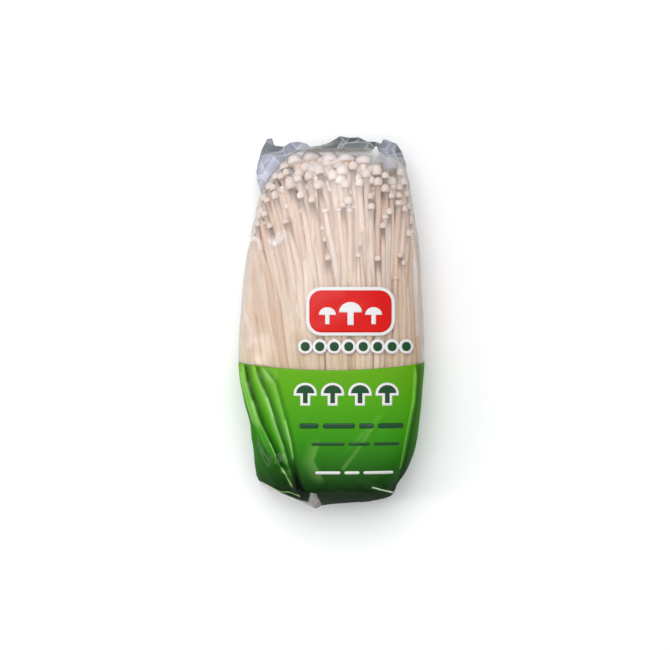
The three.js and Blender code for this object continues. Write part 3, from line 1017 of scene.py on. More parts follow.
    def fill_heart(self) -> None:
        """Fills the inside, with tips that make the rounded end of the bunch."""
        golden = math.pi * (3 - math.sqrt(5))
        for k in range(self.heart_count):
            share = 0.9 * math.sqrt((k + 0.5) / self.heart_count)
            cap_radius = self.rng.uniform(3.0, 4.4)
            radius = self.rng.uniform(*self.stem_radius)
            tip = self.heart_tip - self.heart_fall * share**2.4 - self.rng.uniform(0, 4)
            y = np.linspace(self.heart_from, tip, self.heart_rows)
            x0, z0, half_width, half_height, floor = FORM.section(y, self.gap + cap_radius)
            x = x0 + share * half_width * math.cos(k * golden)
            z = z0 + share * half_height * math.sin(k * golden)
            path = np.stack([x, y, np.maximum(z, floor + 1)], axis=-1)
            cap_height = cap_radius * self.rng.uniform(1.0, 1.3)
            self.stem(path, radius, cap_radius, cap_height, self.rng.uniform(0.2, 1))

    def root_block(self) -> None:
        """Makes the root block and the dense inside that the layers stand on, ridged like close stems."""
        y = np.linspace(self.core_from, self.core_to, self.core_rings)
        turn = np.arange(self.core_columns) / self.core_columns * 2 * math.pi
        rows, turns = np.meshgrid(y, turn, indexing="ij")
        ridges = 0.9 * np.abs(np.sin(turns * self.core_ridges / 2 + np.sin(rows * 0.05)))
        points = FORM.point(rows, turns, read_line(self.core_insets, rows) + ridges)
        self.parts.add(points, points[[0, -1]].mean(axis=1), 0.3, np.zeros(self.core_rings + 2))

    def build(self, material: Material) -> Piece:
        """Builds the bunch as one piece.

        Args:
            material: The flesh.

        Returns:
            The piece.
        """
        self.root_block()
        self.front()
        self.fill_front()
        self.fill_second()
        self.fill_sides()
        self.fill_heart()
        points = np.vstack(self.parts.points)
        faces = [f if f[2] != f[3] else f[:3] for f in np.vstack(self.parts.faces).tolist()]
        piece = new_piece("enoki_mushrooms", points, faces, material,
                          {"tone": np.concatenate(self.parts.tones), "cap": np.concatenate(self.parts.caps)})
        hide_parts("enoki_bunch")
        return piece


# THE FILM


# Folds of the print at the left, drawn downwards, and where they run together at the root end.
OUTER_FOLD = ((-43.5, -23.1), (-38.8, -39.3))
MIDDLE_FOLD = ((-37.3, -23.6), (-31.7, -37.3), (-26.6, -52.5), (-22.9, -62.6))
INNER_FOLD = ((-32.7, -24.1), (-27.6, -30.2), (-22.6, -48.4), (-20, -59.6))
FOLDS_MEET = (-15.5, -86.7)


@dataclass
class FilmPouch:
    """The film: a tube of one sheet, pressed flat and crushed at the caps' end, folded at the root end."""

    thickness: float = 0.14
    front_columns: int = 210
    back_columns: int = 70
    row_step: float = 0.95
    top_start: float = 60.0
    root_start: float = -74.0
    end_rows: int = 64
    settle_rounds: int = 90
    flap_height: float = 17.5
    fin_height: float = 13.0
    layer_gap: float = 0.3  # from the middle of an end to each of its two layers

    # Free edge of the crushed end: place across from 0 to 1, and y. Its sides: y, and place across.
    flap_edge: Outline = (
        (0, 88), (0.02, 93.2), (0.058, 93.8), (0.083, 90), (0.158, 89.6), (0.196, 91.5),
        (0.259, 92.1), (0.321, 91), (0.347, 89.3), (0.448, 90.4), (0.524, 92.5), (0.567, 94.9),
        (0.649, 94), (0.717, 94.3), (0.775, 92.1), (0.844, 92), (0.869, 90.8), (0.906, 93.5),
        (0.988, 91), (1, 87),
    )
    flap_left: Outline = (
        (60, -37.5), (66, -35.9), (69, -36.6), (73, -37.9), (77, -38.1), (82, -37.1), (87, -35.8),
        (93, -34.2),
    )
    flap_right: Outline = (
        (60, 41.3), (65, 40.4), (69, 39.7), (73, 38.9), (81, 37.5), (87, 35.8), (93, 33),
    )
    # The same of the folded root end.
    fin_edge: Outline = (
        (0, -83), (0.12, -88.5), (0.2, -91), (0.31, -95), (0.38, -93.4), (0.46, -92.8),
        (0.6, -92.2), (0.8, -91.2), (0.93, -90), (1, -87.5),
    )
    fin_left: Outline = (
        (-95, -25.5), (-91, -28.5), (-87, -31.5), (-84.5, -34), (-81, -36.8), (-78, -38.3),
        (-74, -38.6),
    )
    fin_right: Outline = (
        (-95, 30.5), (-88, 31), (-84.5, 31.9), (-81.4, 33.2), (-78, 35.8), (-74, 38.6),
    )
    # A gap in the crush: its middle across and along, and its half sizes.
    hole: tuple[float, float, float, float] = (22.4, 86.9, 2.3, 3.6)

    creases: tuple[Crease, ...] = (
        Crease([(-45, -23), (-41.5, -33), (-37, -48), (-33, -60), (-29, -72), (-25, -80)], 6.5, 2.2, 1.6),
        Crease([(-37.5, -23), (-34.7, -31.7), (-29.7, -45.4), (-24.5, -58.6), (-21, -70.7), (-17, -82)],
               7.0, 2.0, 1.9),
        Crease([(-29, -23), (-26.5, -33), (-23, -46), (-20.8, -58), (-19.3, -68)], 5.5, 2.0, 1.1),
        Crease([(-40, -52), (-36, -62), (-31, -72), (-27, -80), (-22, -85)], 4.5, 1.8, 1.2),
        Crease([(-27.5, -72), (-24, -69.5), (-19.5, -71)], 2.0, 5.0, 1.2),
        Crease([(-19.5, -68), (-18.2, -76), (-16, -85)], 4.0, 1.5, 1.5),
        Crease([(42.3, -23), (41.9, -33), (40.6, -46), (37.8, -62), (35.4, -76)], 1.3, 4.5, 1.1),
        Crease([(27.5, -46), (20, -53), (12, -62), (4, -72)], 3.0, 2.0, 0.7),
        Crease([(-14, -47), (-11, -58), (-6, -68), (-5, -76)], 5.0, 2.6, 0.55),
        Crease([(-37.5, -79.5), (-30, -82.5), (-22, -84)], 2.2, 1.6, 0.9),
        Crease([(12, -79.6), (22, -82), (29, -83.6)], 2.2, 1.6, 0.8),
        Crease([(-44, 40), (-41, 42.5), (-37, 41), (-35, 38.5)], 0.9, 1.3, 0.6),
        Crease([(-30.5, 43.5), (-27.5, 40), (-24, 41.5), (-22.5, 44)], 0.9, 1.3, 0.6),
    )
    # Upper edge of the unprinted strip at the root end: place across, and y.
    bare_edge: Outline = (
        (-35, -80.5), (-32.2, -81.8), (-24.1, -86.2), (-16, -89.9), (-11.6, -91), (-10.4, -85.4),
        (-7.6, -85.9), (-5.4, -91.5), (-4.6, -99),
    )
    # Painted shade and light of the crushed end, for how it is tilted to the light: place across, and tone
    # from dark to pale.
    flap_painted_shade: Outline = (
        (-38, 0.5), (-33, 0.9), (-26, 0.75), (-20, 0.45), (-12, 0.1), (0, -0.25), (14, -0.35),
        (22, -0.1), (24, 1), (31.5, 0.95), (33.5, 0.1), (38, 0.1),
    )
    # Where the crushed film is pressed down over the caps.
    pressed: Band = Band([(25.5, 88), (27.5, 83.5), (29.5, 80)], Side.BOTH, 5.0, 0.75)
    # Painted shade and painted highlights along the print's folds: dark on their shaded sides, pale to white
    # on their lit sides and crests.
    fold_shade_and_highlights: tuple[Band, ...] = (
        Band((*OUTER_FOLD, (-35.5, -50)), Side.LEFT, 3.2, -0.4),
        Band((*OUTER_FOLD, (-34.2, -52.5), (-27.6, -66.7), FOLDS_MEET), Side.RIGHT, 4.2, 0.95),
        Band((*MIDDLE_FOLD, (-18.5, -76)), Side.LEFT, 2.8, -0.36),
        Band((*MIDDLE_FOLD, FOLDS_MEET), Side.RIGHT, 3.0, 0.85),
        Band((*INNER_FOLD, (-19, -67.7)), Side.LEFT, 3.0, -0.34),
        Band((*INNER_FOLD, FOLDS_MEET), Side.RIGHT, 2.4, 0.5),
        Band([(-40.8, -44.4), (-36.2, -56.5), (-28.2, -68.7), (-16.5, -86.7)], Side.LEFT, 14.0, 0.45),
        Band([(-24, -74), (-21.5, -74.5), (-20, -80.5)], Side.BOTH, 2.4, -0.6),
        Band([(-38.8, -39.3), (-34.2, -52.5), (-27.6, -66.7)], Side.BOTH, 0.6, -0.6),
        Band([(-31.7, -37.3), (-26.6, -52.5), (-22.9, -62.6)], Side.BOTH, 0.6, -0.5),
        Band([(-45, -25), (-42, -38), (-38.5, -50)], Side.BOTH, 0.6, -0.4),
        Band([(42.3, -23.6), (41.3, -39.3), (38.8, -52.5), (35.2, -72.8), (31.7, -83.9)],
             Side.RIGHT, 8.0, 0.75),
        Band([(42.1, -23.6), (41.1, -39.3), (38.6, -52.5), (35, -72.8)], Side.LEFT, 1.0, -0.4),
        Band([(-33.2, -81.9), (-24.1, -83.9), (-16, -86.7)], Side.BOTH, 0.7, -1.0),
        Band([(20.5, -82.4), (31.2, -85.9)], Side.BOTH, 0.7, -1.0),
        Band([(-7, -63.6), (-8.8, -69), (-6, -74.5)], Side.LEFT, 6.5, -0.2),
        Band([(20.5, -52.5), (13.4, -62.6), (5.8, -72.8)], Side.BOTH, 1.3, -0.22),
        Band([(-22.6, -49), (-20, -59.6), (-19, -67.7)], Side.BOTH, 0.6, -0.6),
        Band([(-33.4, -33), (-31.7, -37.3), (-28.5, -46.8)], Side.BOTH, 0.5, -0.5),
        Band([(-30.6, -60), (-27.6, -66.7), (-22, -76)], Side.BOTH, 0.5, -0.5),
    )
    # Painted white highlights along fine crinkles of the taut film.
    crinkle_highlights: tuple[Band, ...] = (
        Band([(-44, 39), (-42, 42), (-38.5, 42.5), (-36, 40), (-35.5, 37.5)], Side.BOTH, 1.4, 0.32),
        Band([(-31.5, 41), (-28.5, 39), (-25, 41.5), (-23.5, 45)], Side.BOTH, 1.4, 0.32),
        Band([(-28.5, 39), (-26.5, 44.5)], Side.BOTH, 1.2, 0.3),
        Band([(-43, 4), (-40.5, -3), (-41, -12)], Side.BOTH, 1.4, 0.2),
        Band([(41.5, 30), (42.5, 12), (43, -6)], Side.BOTH, 1.4, 0.2),
    )
    # The film's creases and waves, and how high the taut film's creases are.
    taut: Crumple = Crumple(11, 13.0, 12)
    taut_height: float = 0.16
    big: Crumple = Crumple(23, 17.0, 10)
    small: Crumple = Crumple(31, 6.5, 12)
    big_waves: Crumple = Crumple(47, 15.0, 4)
    small_waves: Crumple = Crumple(53, 7.0, 4)
    # Facets of the crushed film, each given its own painted shade of grey, with painted highlights on the
    # creases between them.
    shaded_facets: Crumple = Crumple(61, 9.0, 4)
    # Where the film gets loose along the pack. Past a place across, it gets so sooner by a rate per mm.
    loose_top: tuple[float, float] = (60.0, 90.0)
    loose_top_side: tuple[float, float] = (26.0, 1.4)
    flap: tuple[float, float] = (72.0, 90.0)
    flap_side: tuple[float, float] = (22.0, 1.1)
    loose_root: tuple[float, float] = (-66.0, -88.0)
    loose_left: tuple[float, float] = (-10.0, -35.0)
    loose_left_across: tuple[float, float] = (-22.0, -40.0)
    held_y: tuple[float, float] = (45.0, 88.0)  # where it is kept outside the bunch
    surface: Points | None = None  # the outer face, once it is built

    def turns(self) -> Points:
        """Spreads the film's columns, closer together in front.

        Returns:
            Their angles, from +X over the top.
        """
        front = np.arange(self.front_columns) / self.front_columns * math.pi
        back = math.pi + np.arange(self.back_columns) / self.back_columns * math.pi
        return np.concatenate([front, back])

    def end_grid(self, edge: Outline, left: Outline, right: Outline, start: float, middle: float) -> Points:
        """Lays the film over one end of the bunch, down to where its two layers meet.

        Args:
            edge: The free edge, as place across and y.
            left: The left outline, as y and x.
            right: The right outline, as y and x.
            start: The y where the end joins the tube.
            middle: Height of the line where the layers meet.

        Returns:
            Points in rows, from start to the free edge.
        """
        turn = self.turns()
        across = np.sign(np.cos(turn)) * np.abs(np.cos(turn)) ** (2 / SECTION_POWER)
        place = (1 + across) / 2
        share = np.linspace(0, 1, self.end_rows)[:, None]
        y = start + share * (read_line(edge, place)[None, :] - start)
        x = (1 - place) * read_line(left, y) + place * read_line(right, y)
        tube = FORM.point(np.full(len(turn), start), turn)
        x = np.where(share == 0, tube[None, :, 0], x)
        is_front = np.sin(turn)[None, :] >= 0
        x0, _, half_width, _, _ = FORM.section(y)
        beside_form = np.abs(x - x0) / half_width >= 1
        beyond_form = np.abs(y) > np.abs(STATIONS[0 if start < 0 else -1, 0])
        alone = beside_form | beyond_form
        upper, lower = middle + self.layer_gap, middle - self.layer_gap
        front = np.where(alone, upper, np.maximum(FORM.height(x, y), upper))
        back = np.where(alone, lower, np.minimum(FORM.height(x, y, front=False), lower))
        height = np.where(is_front, front, back)
        lowest = np.where(is_front, front, -np.inf)
        highest = np.where(is_front, np.inf, back)
        height[0] = tube[:, 2]
        height[-1] = middle
        for _ in range(self.settle_rounds):
            mean = (height[:-2] + height[2:] + np.roll(height, 1, 1)[1:-1] + np.roll(height, -1, 1)[1:-1]) / 4
            height[1:-1] = np.clip(mean, lowest[1:-1], highest[1:-1])
        return np.stack([x, y, height], axis=-1)

    def grid(self) -> tuple[Points, int]:
        """Lays out the whole film.

        Returns:
            Rows of points from the root end's edge to the crushed edge, and the row where the print begins.
        """
        body_y = np.arange(self.root_start, self.top_start, self.row_step)[1:]
        body_y += PRINT_TOP - body_y[np.argmin(np.abs(body_y - PRINT_TOP))]
        body_y = body_y[(body_y > self.root_start + 0.3) & (body_y < self.top_start - 0.3)]
        cut = int(np.argmin(np.abs(body_y - PRINT_TOP)))
        rows, turns = np.meshgrid(body_y, self.turns(), indexing="ij")
        # The print's edge bows towards the root end in front, and the rows beside it with it.
        bow = (3.6 * np.abs(np.cos(turns)) ** 1.6 - 1.3) * np.exp(-((rows - PRINT_TOP) / 16) ** 2)
        body = FORM.point(rows + bow, turns)
        top = self.end_grid(self.flap_edge, self.flap_left, self.flap_right, self.top_start, self.flap_height)
        root = self.end_grid(self.fin_edge, self.fin_left, self.fin_right, self.root_start, self.fin_height)
        return np.concatenate([root[::-1], body, top]), cut + self.end_rows

    def folded(self, points: Points, normals: Points) -> Points:
        """Folds and crushes the film.

        Args:
            points: The smooth film, in rows.
            normals: Its normals.

        Returns:
            The film with its relief.
        """
        x, y, z = np.moveaxis(points, -1, 0)
        top = smoothstep(*self.loose_top, y + self.sooner(x, *self.loose_top_side))
        root = smoothstep(*self.loose_root, y)
        left = smoothstep(*self.loose_left_across, x) * smoothstep(*self.loose_left, y)
        big = self.big.height(x, y + 0.5 * z)
        small = self.small.height(x, y + 0.5 * z)
        lift = sum(crease.lift(x, y) for crease in self.creases) * self.in_front(normals)
        lift = lift + self.taut_height * self.taut.height(x, y + z) + top * (0.9 * big + 0.45 * small)
        lift = lift + (root + 0.6 * left) * (0.8 * big + 0.35 * small)
        rows = np.arange(len(points))
        from_edge = np.clip(np.minimum(rows, rows[::-1]) / 14, 0, 1)[:, None]
        lift = lift * np.clip((z - 1.0) / 6, 0, 1) * from_edge
        lift = np.where(y > 82, lift, np.maximum(lift, -0.35))
        flap = smoothstep(*self.flap, y + self.sooner(x, *self.flap_side))
        moved = points + normals * lift[..., None]
        moved[..., 2] += flap * (2.4 * self.big_waves.height(x, y) + 1.2 * self.small_waves.height(x, y))
        return self.held(moved)

    def sooner(self, x: Points, beyond: float, rate: float) -> Points:
        """Gives how much sooner the film gets loose at x, beyond a place across, by a rate per mm."""
        return np.maximum(np.abs(x) - beyond, 0) * rate

    def held(self, points: Points) -> Points:
        """Keeps the film's loose end outside the bunch.

        Args:
            points: The film, in rows.

        Returns:
            The film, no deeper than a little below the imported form.
        """
        x, y, z = np.moveaxis(points, -1, 0)
        x0, _, half_width, _, _ = FORM.section(y)
        over_body = (np.abs(x - x0) < half_width) & (y > self.held_y[0]) & (y < self.held_y[1])
        is_front = (np.sin(self.turns()) >= 0)[None, :]
        slack = 0.1 + 2.5 * smoothstep(66, 50, y)
        front = np.maximum(z, FORM.height(x, y) - slack)
        back = np.minimum(z, FORM.height(x, y, front=False) + slack)
        points[..., 2] = np.where(over_body, np.where(is_front, front, back), z)
        return points

    def crushed(self, points: Points, normals: Points) -> Points:
        """Gives how crushed the film is.

        Args:
            points: The smooth film, in rows.
            normals: Its normals.

        Returns:
            A share from 0 to 1 at each point.
        """
        x, y, _ = np.moveaxis(points, -1, 0)
        x0, _, half_width, _, _ = FORM.section(y)
        past_side = smoothstep(0.97, 1.04, np.abs(x - x0) / half_width) * smoothstep(62, 70, y)
        past_tips = smoothstep(86.6, 88.8, y)
        front = self.in_front(normals)
        over_caps = self.pressed.tint(x, y) * front
        # The crinkles' painted highlights add haze here, which the crease layer paints white.
        crinkle_glint = all_tints(self.crinkle_highlights, x, y) * front
        return np.clip(np.maximum(past_side, past_tips) + over_caps + crinkle_glint, 0, 1)

    def in_front(self, normals: Points) -> Points:
        """Gives 1 where the film faces up, falling to 0 at the pack's sides."""
        return np.clip(normals[..., 2] * 3, 0, 1)

    def channel(self, points: Points) -> Points:
        """Raises the film's underside over the back seam and keeps the rest on the floor.

        Args:
            points: The film.

        Returns:
            The same points, moved.
        """
        x, y, z = np.moveaxis(points, -1, 0)
        inside = (np.abs(x) < SEAM_HALF) & (y > SEAM_FROM) & (y < SEAM_TO)
        points[..., 2] = np.where(inside, np.maximum(z, CHANNEL_DEPTH), np.maximum(z, 0.0))
        return points

    def normals(self, points: Points) -> Points:
        """Gives the film's outward normals.

        Args:
            points: The film, in rows that go round it.

        Returns:
            One normal per point, of length 1.
        """
        along = np.gradient(points, axis=0)
        around = (np.roll(points, -1, 1) - np.roll(points, 1, 1)) / 2
        normal = np.cross(along, around)
        return normal / np.maximum(np.linalg.norm(normal, axis=-1), 1e-9)[..., None]

    def layers(self, points: Points, crushed: Points) -> dict[str, Points]:
        """Gives the numbers that the film's finishes read.

        Args:
            points: The smooth film, in rows.
            crushed: How crushed it is.

        Returns:
            A number at each point, by the names of the layers.
        """
        x, y, z = np.moveaxis(points, -1, 0)
        panel, crease = self.shaded_facets.panels(x, y)
        crinkle_glint = np.sign(all_tints(self.crinkle_highlights, x, y))
        seen = z > FORM.section(y)[1]
        # panel carries painted shade of the crushed facets and of the crushed end's tilt; crease paints
        # highlights on creases and crinkles; tint paints shade and highlights along the print's folds.
        return {"crushed": crushed, "panel": 0.6 * panel + 0.55 * read_line(self.flap_painted_shade, x) - 0.05,
                "crease": np.maximum(0.5 * crease, crinkle_glint),
                "tint": np.clip(all_tints(self.fold_shade_and_highlights, x, y), -1, 1) * seen}

    def build(self, clear: Material, printed: Material) -> list[Piece]:
        """Builds the clear and the printed film.

        Args:
            clear: The clear film's finish.
            printed: The printed film's finish.

        Returns:
            The two pieces.
        """
        smooth, cut = self.grid()
        normals = self.normals(smooth)
        layers = self.layers(smooth, self.crushed(smooth, normals))
        self.surface = self.channel(self.folded(smooth, normals))
        pieces = []
        halves = (("clear", slice(cut, None), clear), ("printed", slice(0, cut + 1), printed))
        for name, rows, material in halves:
            part = self.surface[rows]
            here = {layer: values[rows].ravel() for layer, values in layers.items()}
            bare = smoothstep(0.5, -0.5, part[..., 1] - read_line(self.bare_edge, part[..., 0]))
            faces = self.kept_faces(part)
            piece = new_piece(f"film_{name}", part.reshape(-1, 3), faces, material,
                              {**here, "bare": bare.ravel()})
            self.close_end(piece)
            wall = piece.modifiers.new("wall", "SOLIDIFY")
            wall.thickness = self.thickness * MM
            wall.offset = -1
            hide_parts(f"pouch_{name}_film")
            pieces.append(piece)
        return pieces

    def past_gap(self, points: Points) -> Points:
        """Gives how far points are from the middle of the gap in the crush: 1 is its outline."""
        x, y, half_x, half_y = self.hole
        return np.abs(points[..., 0] - x) / half_x + np.abs(points[..., 1] - y) / half_y

    def kept_faces(self, part: Points) -> Points:
        """Draws the film's points onto the outline of the gap in the crush, and leaves out the faces in it.

        Args:
            part: The film's points in rows, moved where they are near the outline.

        Returns:
            The faces that are kept.
        """
        away = self.past_gap(part)
        scale = np.where((away > 0.75) & (away < 1.25), 1 / np.maximum(away, 0.1), 1)[..., None]
        part[..., :2] = self.hole[:2] + (part[..., :2] - self.hole[:2]) * scale
        faces = tube_faces(part.shape[0], part.shape[1])
        return faces[self.past_gap(part.reshape(-1, 3)[faces].mean(axis=1)) > 1]

    def close_end(self, piece: Piece) -> None:
        """Welds the two layers of film where they meet at the free edge.

        Args:
            piece: The clear or the printed film.
        """
        mesh = bmesh.new()
        mesh.from_mesh(piece.data)
        bmesh.ops.remove_doubles(mesh, verts=mesh.verts, dist=0.02 * MM)
        mesh.to_mesh(piece.data)
        mesh.free()

    def tree(self) -> BVHTree:
        """Gives the film's outer face for laying things on it."""
        rows, columns = self.surface.shape[:2]
        return BVHTree.FromPolygons(self.surface.reshape(-1, 3).tolist(), tube_faces(rows, columns).tolist())


@dataclass(frozen=True)
class BackSeam:
    """The film's two edges, welded face to face and folded flat, with ribs from the sealing jaws."""

    half_width: float = 6.9
    start: float = -73.9
    end: float = 61.9
    low: float = 0.12
    thickness: float = 0.5
    rib_pitch: float = 1.6
    rib_height: float = 0.09
    rib_half: float = 5.5
    rows_per_rib: int = 4
    columns: int = 13
    crush: float = 0.6
    tone: float = 0.7

    def build(self, material: Material) -> Piece:
        """Builds the seam.

        Args:
            material: The clear film's finish.

        Returns:
            The piece.
        """
        rows = np.arange(self.start, self.end, self.rib_pitch / self.rows_per_rib)
        columns = np.linspace(-self.half_width, self.half_width, self.columns)
        y, x = np.meshgrid(rows, columns, indexing="ij")
        rib = self.rib_height * np.sin(y / self.rib_pitch * 2 * math.pi)
        top = self.low + self.thickness - 0.1
        low = np.stack([x, y, np.full_like(x, self.low)], axis=-1)
        high = np.stack([x, y, top + rib * (np.abs(x) < self.rib_half)], axis=-1)
        ring = np.concatenate([high, low[:, ::-1]], axis=1)
        count = ring.shape[1]
        last = (len(rows) - 1) * count
        faces = [*tube_faces(len(rows), count).tolist(), range(count)[::-1], range(last, last + count)]
        points = ring.reshape(-1, 3)
        layers = {"crushed": np.full(len(points), self.crush), "panel": np.full(len(points), self.tone)}
        piece = new_piece("film_back_seam", points, faces, material, layers)
        mesh = bmesh.new()
        mesh.from_mesh(piece.data)
        bmesh.ops.recalc_face_normals(mesh, faces=mesh.faces)
        mesh.to_mesh(piece.data)
        mesh.free()
        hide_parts("pouch_back_seam")
        return piece


# THE PRINTED MARKS


@dataclass(frozen=True)
class Mark:
    """One flat printed shape."""

    name: str
    ink: Ink
    outlines: list[Outline]
    layer: int


def rounded_box(x: float, y: float, width: float, height: float, radius: float) -> Outline:
    """Gives the outline of a box with rounded corners.

    Args:
        x: Its middle across the pack.
        y: Its middle along the pack.
        width: Its size across.
        height: Its size along.
        radius: Radius of its corners.

    Returns:
        The outline's points.
    """
    points = []
    steps = 6  # per corner
    for corner in range(4):
        cx = x + (width / 2 - radius) * (1 if corner in (0, 3) else -1)
        cy = y + (height / 2 - radius) * (1 if corner in (0, 1) else -1)
        for k in range(steps + 1):
            turn = corner * math.pi / 2 + k * math.pi / 2 / steps
            points.append((cx + radius * math.cos(turn), cy + radius * math.sin(turn)))
    return points


def toadstool(x: float, y: float, size: float, edge: float = 0.0) -> Outline:
    """Gives the outline of a plain mushroom: half a disc on a stem.

    Args:
        x: Middle of its cap's rim across the pack.
        y: Middle of its cap's rim along the pack.
        size: Width of its cap.
        edge: How much the outline is grown all round.

    Returns:
        The outline's points.
    """
    cap = size / 2 + edge
    stem = size * 0.13 + edge
    foot = y - size * 0.55 - edge
    rim = y - edge
    steps = 14
    turns = [k * math.pi / steps for k in range(steps + 1)]
    arc = [(x + cap * math.cos(turn), y + cap * 0.9 * math.sin(turn)) for turn in turns]
    left = [(x - cap, rim), (x - stem, rim), (x - stem, foot)]
    right = [(x + stem, foot), (x + stem, rim), (x + cap, rim)]
    return arc + left + right


@dataclass(frozen=True)
class PrintedMarks:
    """A plain generic design in the places of the pack's print: a red plate, and rows of simple shapes."""

    lift: float = 0.05
    wall: float = 0.03
    cell: float = 0.9
    cast_from: float = 90.0  # above the pack
    plate_middle: tuple[float, float] = (9.5, 5.5)
    plate_size: tuple[float, float] = (41.0, 21.0)
    plate_edge: float = 1.7
    left: float = -13.0  # middle of the first bead and of the row's first mushroom
    bead_y: float = -12.0
    row_y: float = -35.2
    rule_gap: float = 2.0

    def design(self) -> list[Mark]:
        """Lists the marks.

        Returns:
            The marks, each with its ink and its layer above the film.
        """
        x, y = self.plate_middle
        wide, high = self.plate_size
        edge = 2 * self.plate_edge
        trio = [(x - 11.5, y - 1.7, 8.5), (x, y - 0.5, 11.5), (x + 11.5, y - 1.7, 8.5)]
        beads = [self.left + 7.2 * k for k in range(8)]
        bead_edges = [rounded_box(at, self.bead_y, 7.4, 7.4, 3.6) for at in beads]
        bead_shapes = [rounded_box(at, self.bead_y, 4.6, 4.6, 2.2) for at in beads]
        row = [self.left + 13.6 * k for k in range(4)]
        return [
            Mark("print_plate_edge", Ink.WHITE, [rounded_box(x, y, wide + edge, high + edge, 7.6)], 0),
            Mark("print_plate", Ink.RED, [rounded_box(x, y, wide, high, 6.0)], 1),
            Mark("print_plate_mushrooms", Ink.WHITE, [toadstool(*place) for place in trio], 2),
            Mark("print_bead_edges", Ink.WHITE, bead_edges, 0),
            Mark("print_beads", Ink.DARK_GREEN, bead_shapes, 1),
            Mark("print_row_edges", Ink.WHITE, [toadstool(at, self.row_y, 9.0, 1.3) for at in row], 0),
            Mark("print_row", Ink.DARK_GREEN, [toadstool(at, self.row_y, 9.0) for at in row], 1),
            Mark("print_dark_rules", Ink.DARK_GREEN, self.rules(-16.0, 36.0, -51.5, 2.6, (9, 15, 7, 12)), 0),
            Mark("print_thin_rules", Ink.DARK_GREEN, self.rules(-10.0, 34.0, -60.6, 1.5, (14, 9, 11)), 0),
            Mark("print_white_rules", Ink.WHITE, self.rules(-8.0, 31.0, -75.0, 1.5, (10, 6, 12)), 0),
        ]

    def rules(self, start: float, end: float, y: float, height: float,
              lengths: Sequence[float]) -> list[Outline]:
        """Gives a row of plain bars with rounded ends.

        Args:
            start: Left end of the row.
            end: Right end of the row.
            y: Middle of the row.
            height: Height of a bar.
            lengths: Relative lengths of the bars.

        Returns:
            The bars' outlines.
        """
        unit = (end - start - self.rule_gap * (len(lengths) - 1)) / sum(lengths)
        bars = []
        x = start
        for length in lengths:
            bars.append(rounded_box(x + length * unit / 2, y, length * unit, height, height * 0.45))
            x += length * unit + self.rule_gap
        return bars

    def lay(self, mark: Mark, film: BVHTree, material: Material) -> Piece:
        """Lays one mark on the film.

        Args:
            mark: The mark.
            film: The film's outer face.
            material: The ink.

        Returns:
            The piece.
        """
        flat = bmesh.new()
        for outline in mark.outlines:
            flat.faces.new([flat.verts.new((x, y, 0)) for x, y in outline])
        corners = np.array([v.co[:2] for v in flat.verts])
        for axis in (0, 1):
            normal = np.eye(3)[axis]
            for place in np.arange(corners[:, axis].min() + self.cell, corners[:, axis].max(), self.cell):
                everything = [*flat.verts, *flat.edges, *flat.faces]
                bmesh.ops.bisect_plane(flat, geom=everything, plane_co=normal * place, plane_no=normal)
        bmesh.ops.triangulate(flat, faces=flat.faces)
        lift = self.lift * (mark.layer + 1)
        for vert in flat.verts:
            above = Vector((vert.co.x, vert.co.y, self.cast_from))
            spot, normal, _, _ = film.ray_cast(above, Vector((0, 0, -1)))
            vert.co = spot + normal * (lift if normal.z > 0 else -lift)
        flat.verts.index_update()
        points = np.array([v.co[:] for v in flat.verts])
        faces = [[v.index for v in f.verts] for f in flat.faces]
        flat.free()
        piece = new_piece(mark.name, points, faces, material)
        if sum(p.normal.z for p in piece.data.polygons) < 0:
            piece.data.flip_normals()
        wall = piece.modifiers.new("wall", "SOLIDIFY")
        wall.thickness = self.wall * MM
        wall.offset = 1
        return piece

    def build(self, film: BVHTree) -> list[Piece]:
        """Lays every mark on the film.

        Args:
            film: The film's outer face.

        Returns:
            The pieces.
        """
        inks = {ink: InkFinish(ink).build() for ink in Ink}
        return [self.lay(mark, film, inks[mark.ink]) for mark in self.design()]


# THE STUDIO


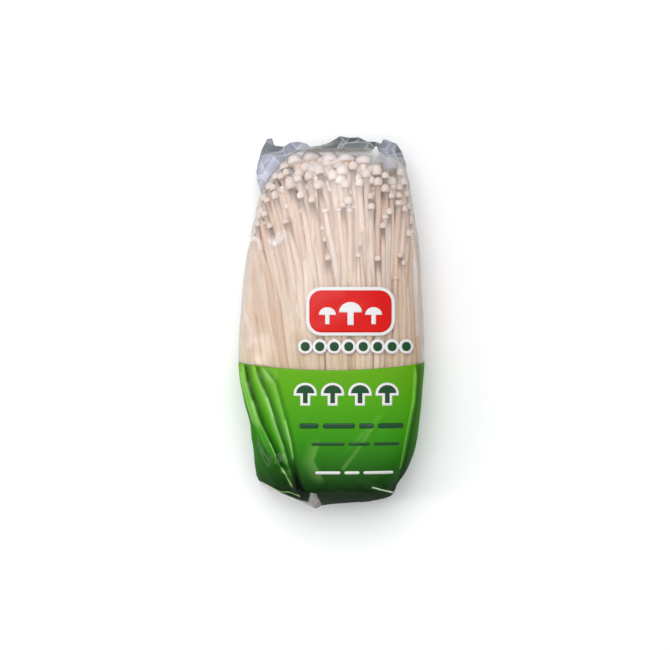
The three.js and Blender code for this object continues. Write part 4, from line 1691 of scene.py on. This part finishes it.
@dataclass(frozen=True)
class Studio:
    """A pale floor, soft light from large panels and a camera straight above. Its own sizes are in metres."""

    distance: float = 1.25
    sensor: float = 36.0  # in mm, and so is the lens
    view_plane: float = 0.022  # height of the pack's widest outline
    floor_half: float = 4.0
    floor_drop: float = 0.0002
    floor_grain_mm: float = 71.43
    sky_strength: float = 0.9

    def camera(self) -> None:
        """Sets the camera so that one px is MM_PER_PX at the height of the pack's widest outline."""
        data = bpy.data.cameras.new("camera")
        data.sensor_width = self.sensor
        data.lens = self.sensor * self.distance / (FRAME_PX[0] * MM_PER_PX * MM)
        camera = bpy.data.objects.new("camera", data)
        x = (FRAME_PX[0] / 2 - MIDDLE_PX[0]) * MM_PER_PX * MM
        y = (MIDDLE_PX[1] - FRAME_PX[1] / 2) * MM_PER_PX * MM
        camera.location = (x, y, self.distance + self.view_plane)
        bpy.context.scene.collection.objects.link(camera)
        bpy.context.scene.camera = camera

    def panel(self, name: str, place: tuple[float, float, float], size: tuple[float, float],
              power: float) -> None:
        """Hangs one soft light that faces the pack.

        Args:
            name: The light's name.
            place: Its middle.
            size: Its sides.
            power: Its power in watts.
        """
        data = bpy.data.lights.new(name, "AREA")
        data.shape = "RECTANGLE"
        data.size, data.size_y = size
        data.energy = power
        light = bpy.data.objects.new(name, data)
        light.location = place
        light.rotation_euler = (Vector((0, 0, 0.02)) - Vector(place)).to_track_quat("-Z", "Y").to_euler()
        bpy.context.scene.collection.objects.link(light)

    def floor(self) -> None:
        """Makes the floor."""
        material, tree = new_material("floor")
        place = add_node(tree, "TexCoord").outputs["Object"]
        grain = add_node(tree, "TexNoise", {0: place, "Scale": scale_of(self.floor_grain_mm)})
        tone = add_node(tree, "MapRange", {0: grain.outputs[0], 3: 0.92, 4: 0.96})
        shader = add_node(tree, "BsdfDiffuse", {0: tone.outputs[0]})
        add_node(tree, "OutputMaterial", {0: shader.outputs[0]})
        mesh = bpy.data.meshes.new("floor")
        half = self.floor_half
        corners = [(-half, -half, 0), (half, -half, 0), (half, half, 0), (-half, half, 0)]
        mesh.from_pydata(corners, [], [(0, 1, 2, 3)])
        mesh.materials.append(material)
        floor = bpy.data.objects.new("floor", mesh)
        floor.location.z = -self.floor_drop
        bpy.context.scene.collection.objects.link(floor)

    def build(self) -> None:
        """Sets up the camera, the floor, the light panels and a pale sky."""
        self.camera()
        self.floor()
        self.panel("key_panel", (-0.16, 0.6, 1.3), (1.1, 1.1), 11.0)
        self.panel("left_strip", (-1.1, -0.1, 0.6), (0.22, 1.0), 4.0)
        world = bpy.data.worlds.new("studio")
        bpy.context.scene.world = world
        world.use_nodes = True
        tree = world.node_tree
        sky = add_node(tree, "TexCoord").outputs["Generated"]
        rise = add_node(tree, "SeparateXYZ", {0: sky})
        dome = add_node(tree, "ValToRGB", {0: rise.outputs["Z"]})
        set_stops(dome, [(0.05, "5c6063"), (0.5, "d4d8db"), (1.0, "ffffff")])
        background = tree.nodes["Background"]
        tree.links.new(dome.outputs[0], background.inputs[0])
        background.inputs[1].default_value = self.sky_strength
        bpy.context.scene.view_settings.view_transform = "Standard"


def main() -> None:
    """Builds the pieces in order and reports each one."""
    logging.basicConfig(level=logging.INFO, format="%(name)s %(message)s")
    Studio().build()
    film = FilmPouch()
    clear = ClearFilm().build()
    pieces = [EnokiBunch().build(MushroomFlesh().build())]
    pieces += film.build(clear, PrintedFilm().build())
    pieces.append(BackSeam().build(clear))
    pieces += PrintedMarks().build(film.tree())
    for piece in pieces:
        LOG.info("%s: %d faces", piece.name, len(piece.data.polygons))


if __name__ == "__main__":
    main()
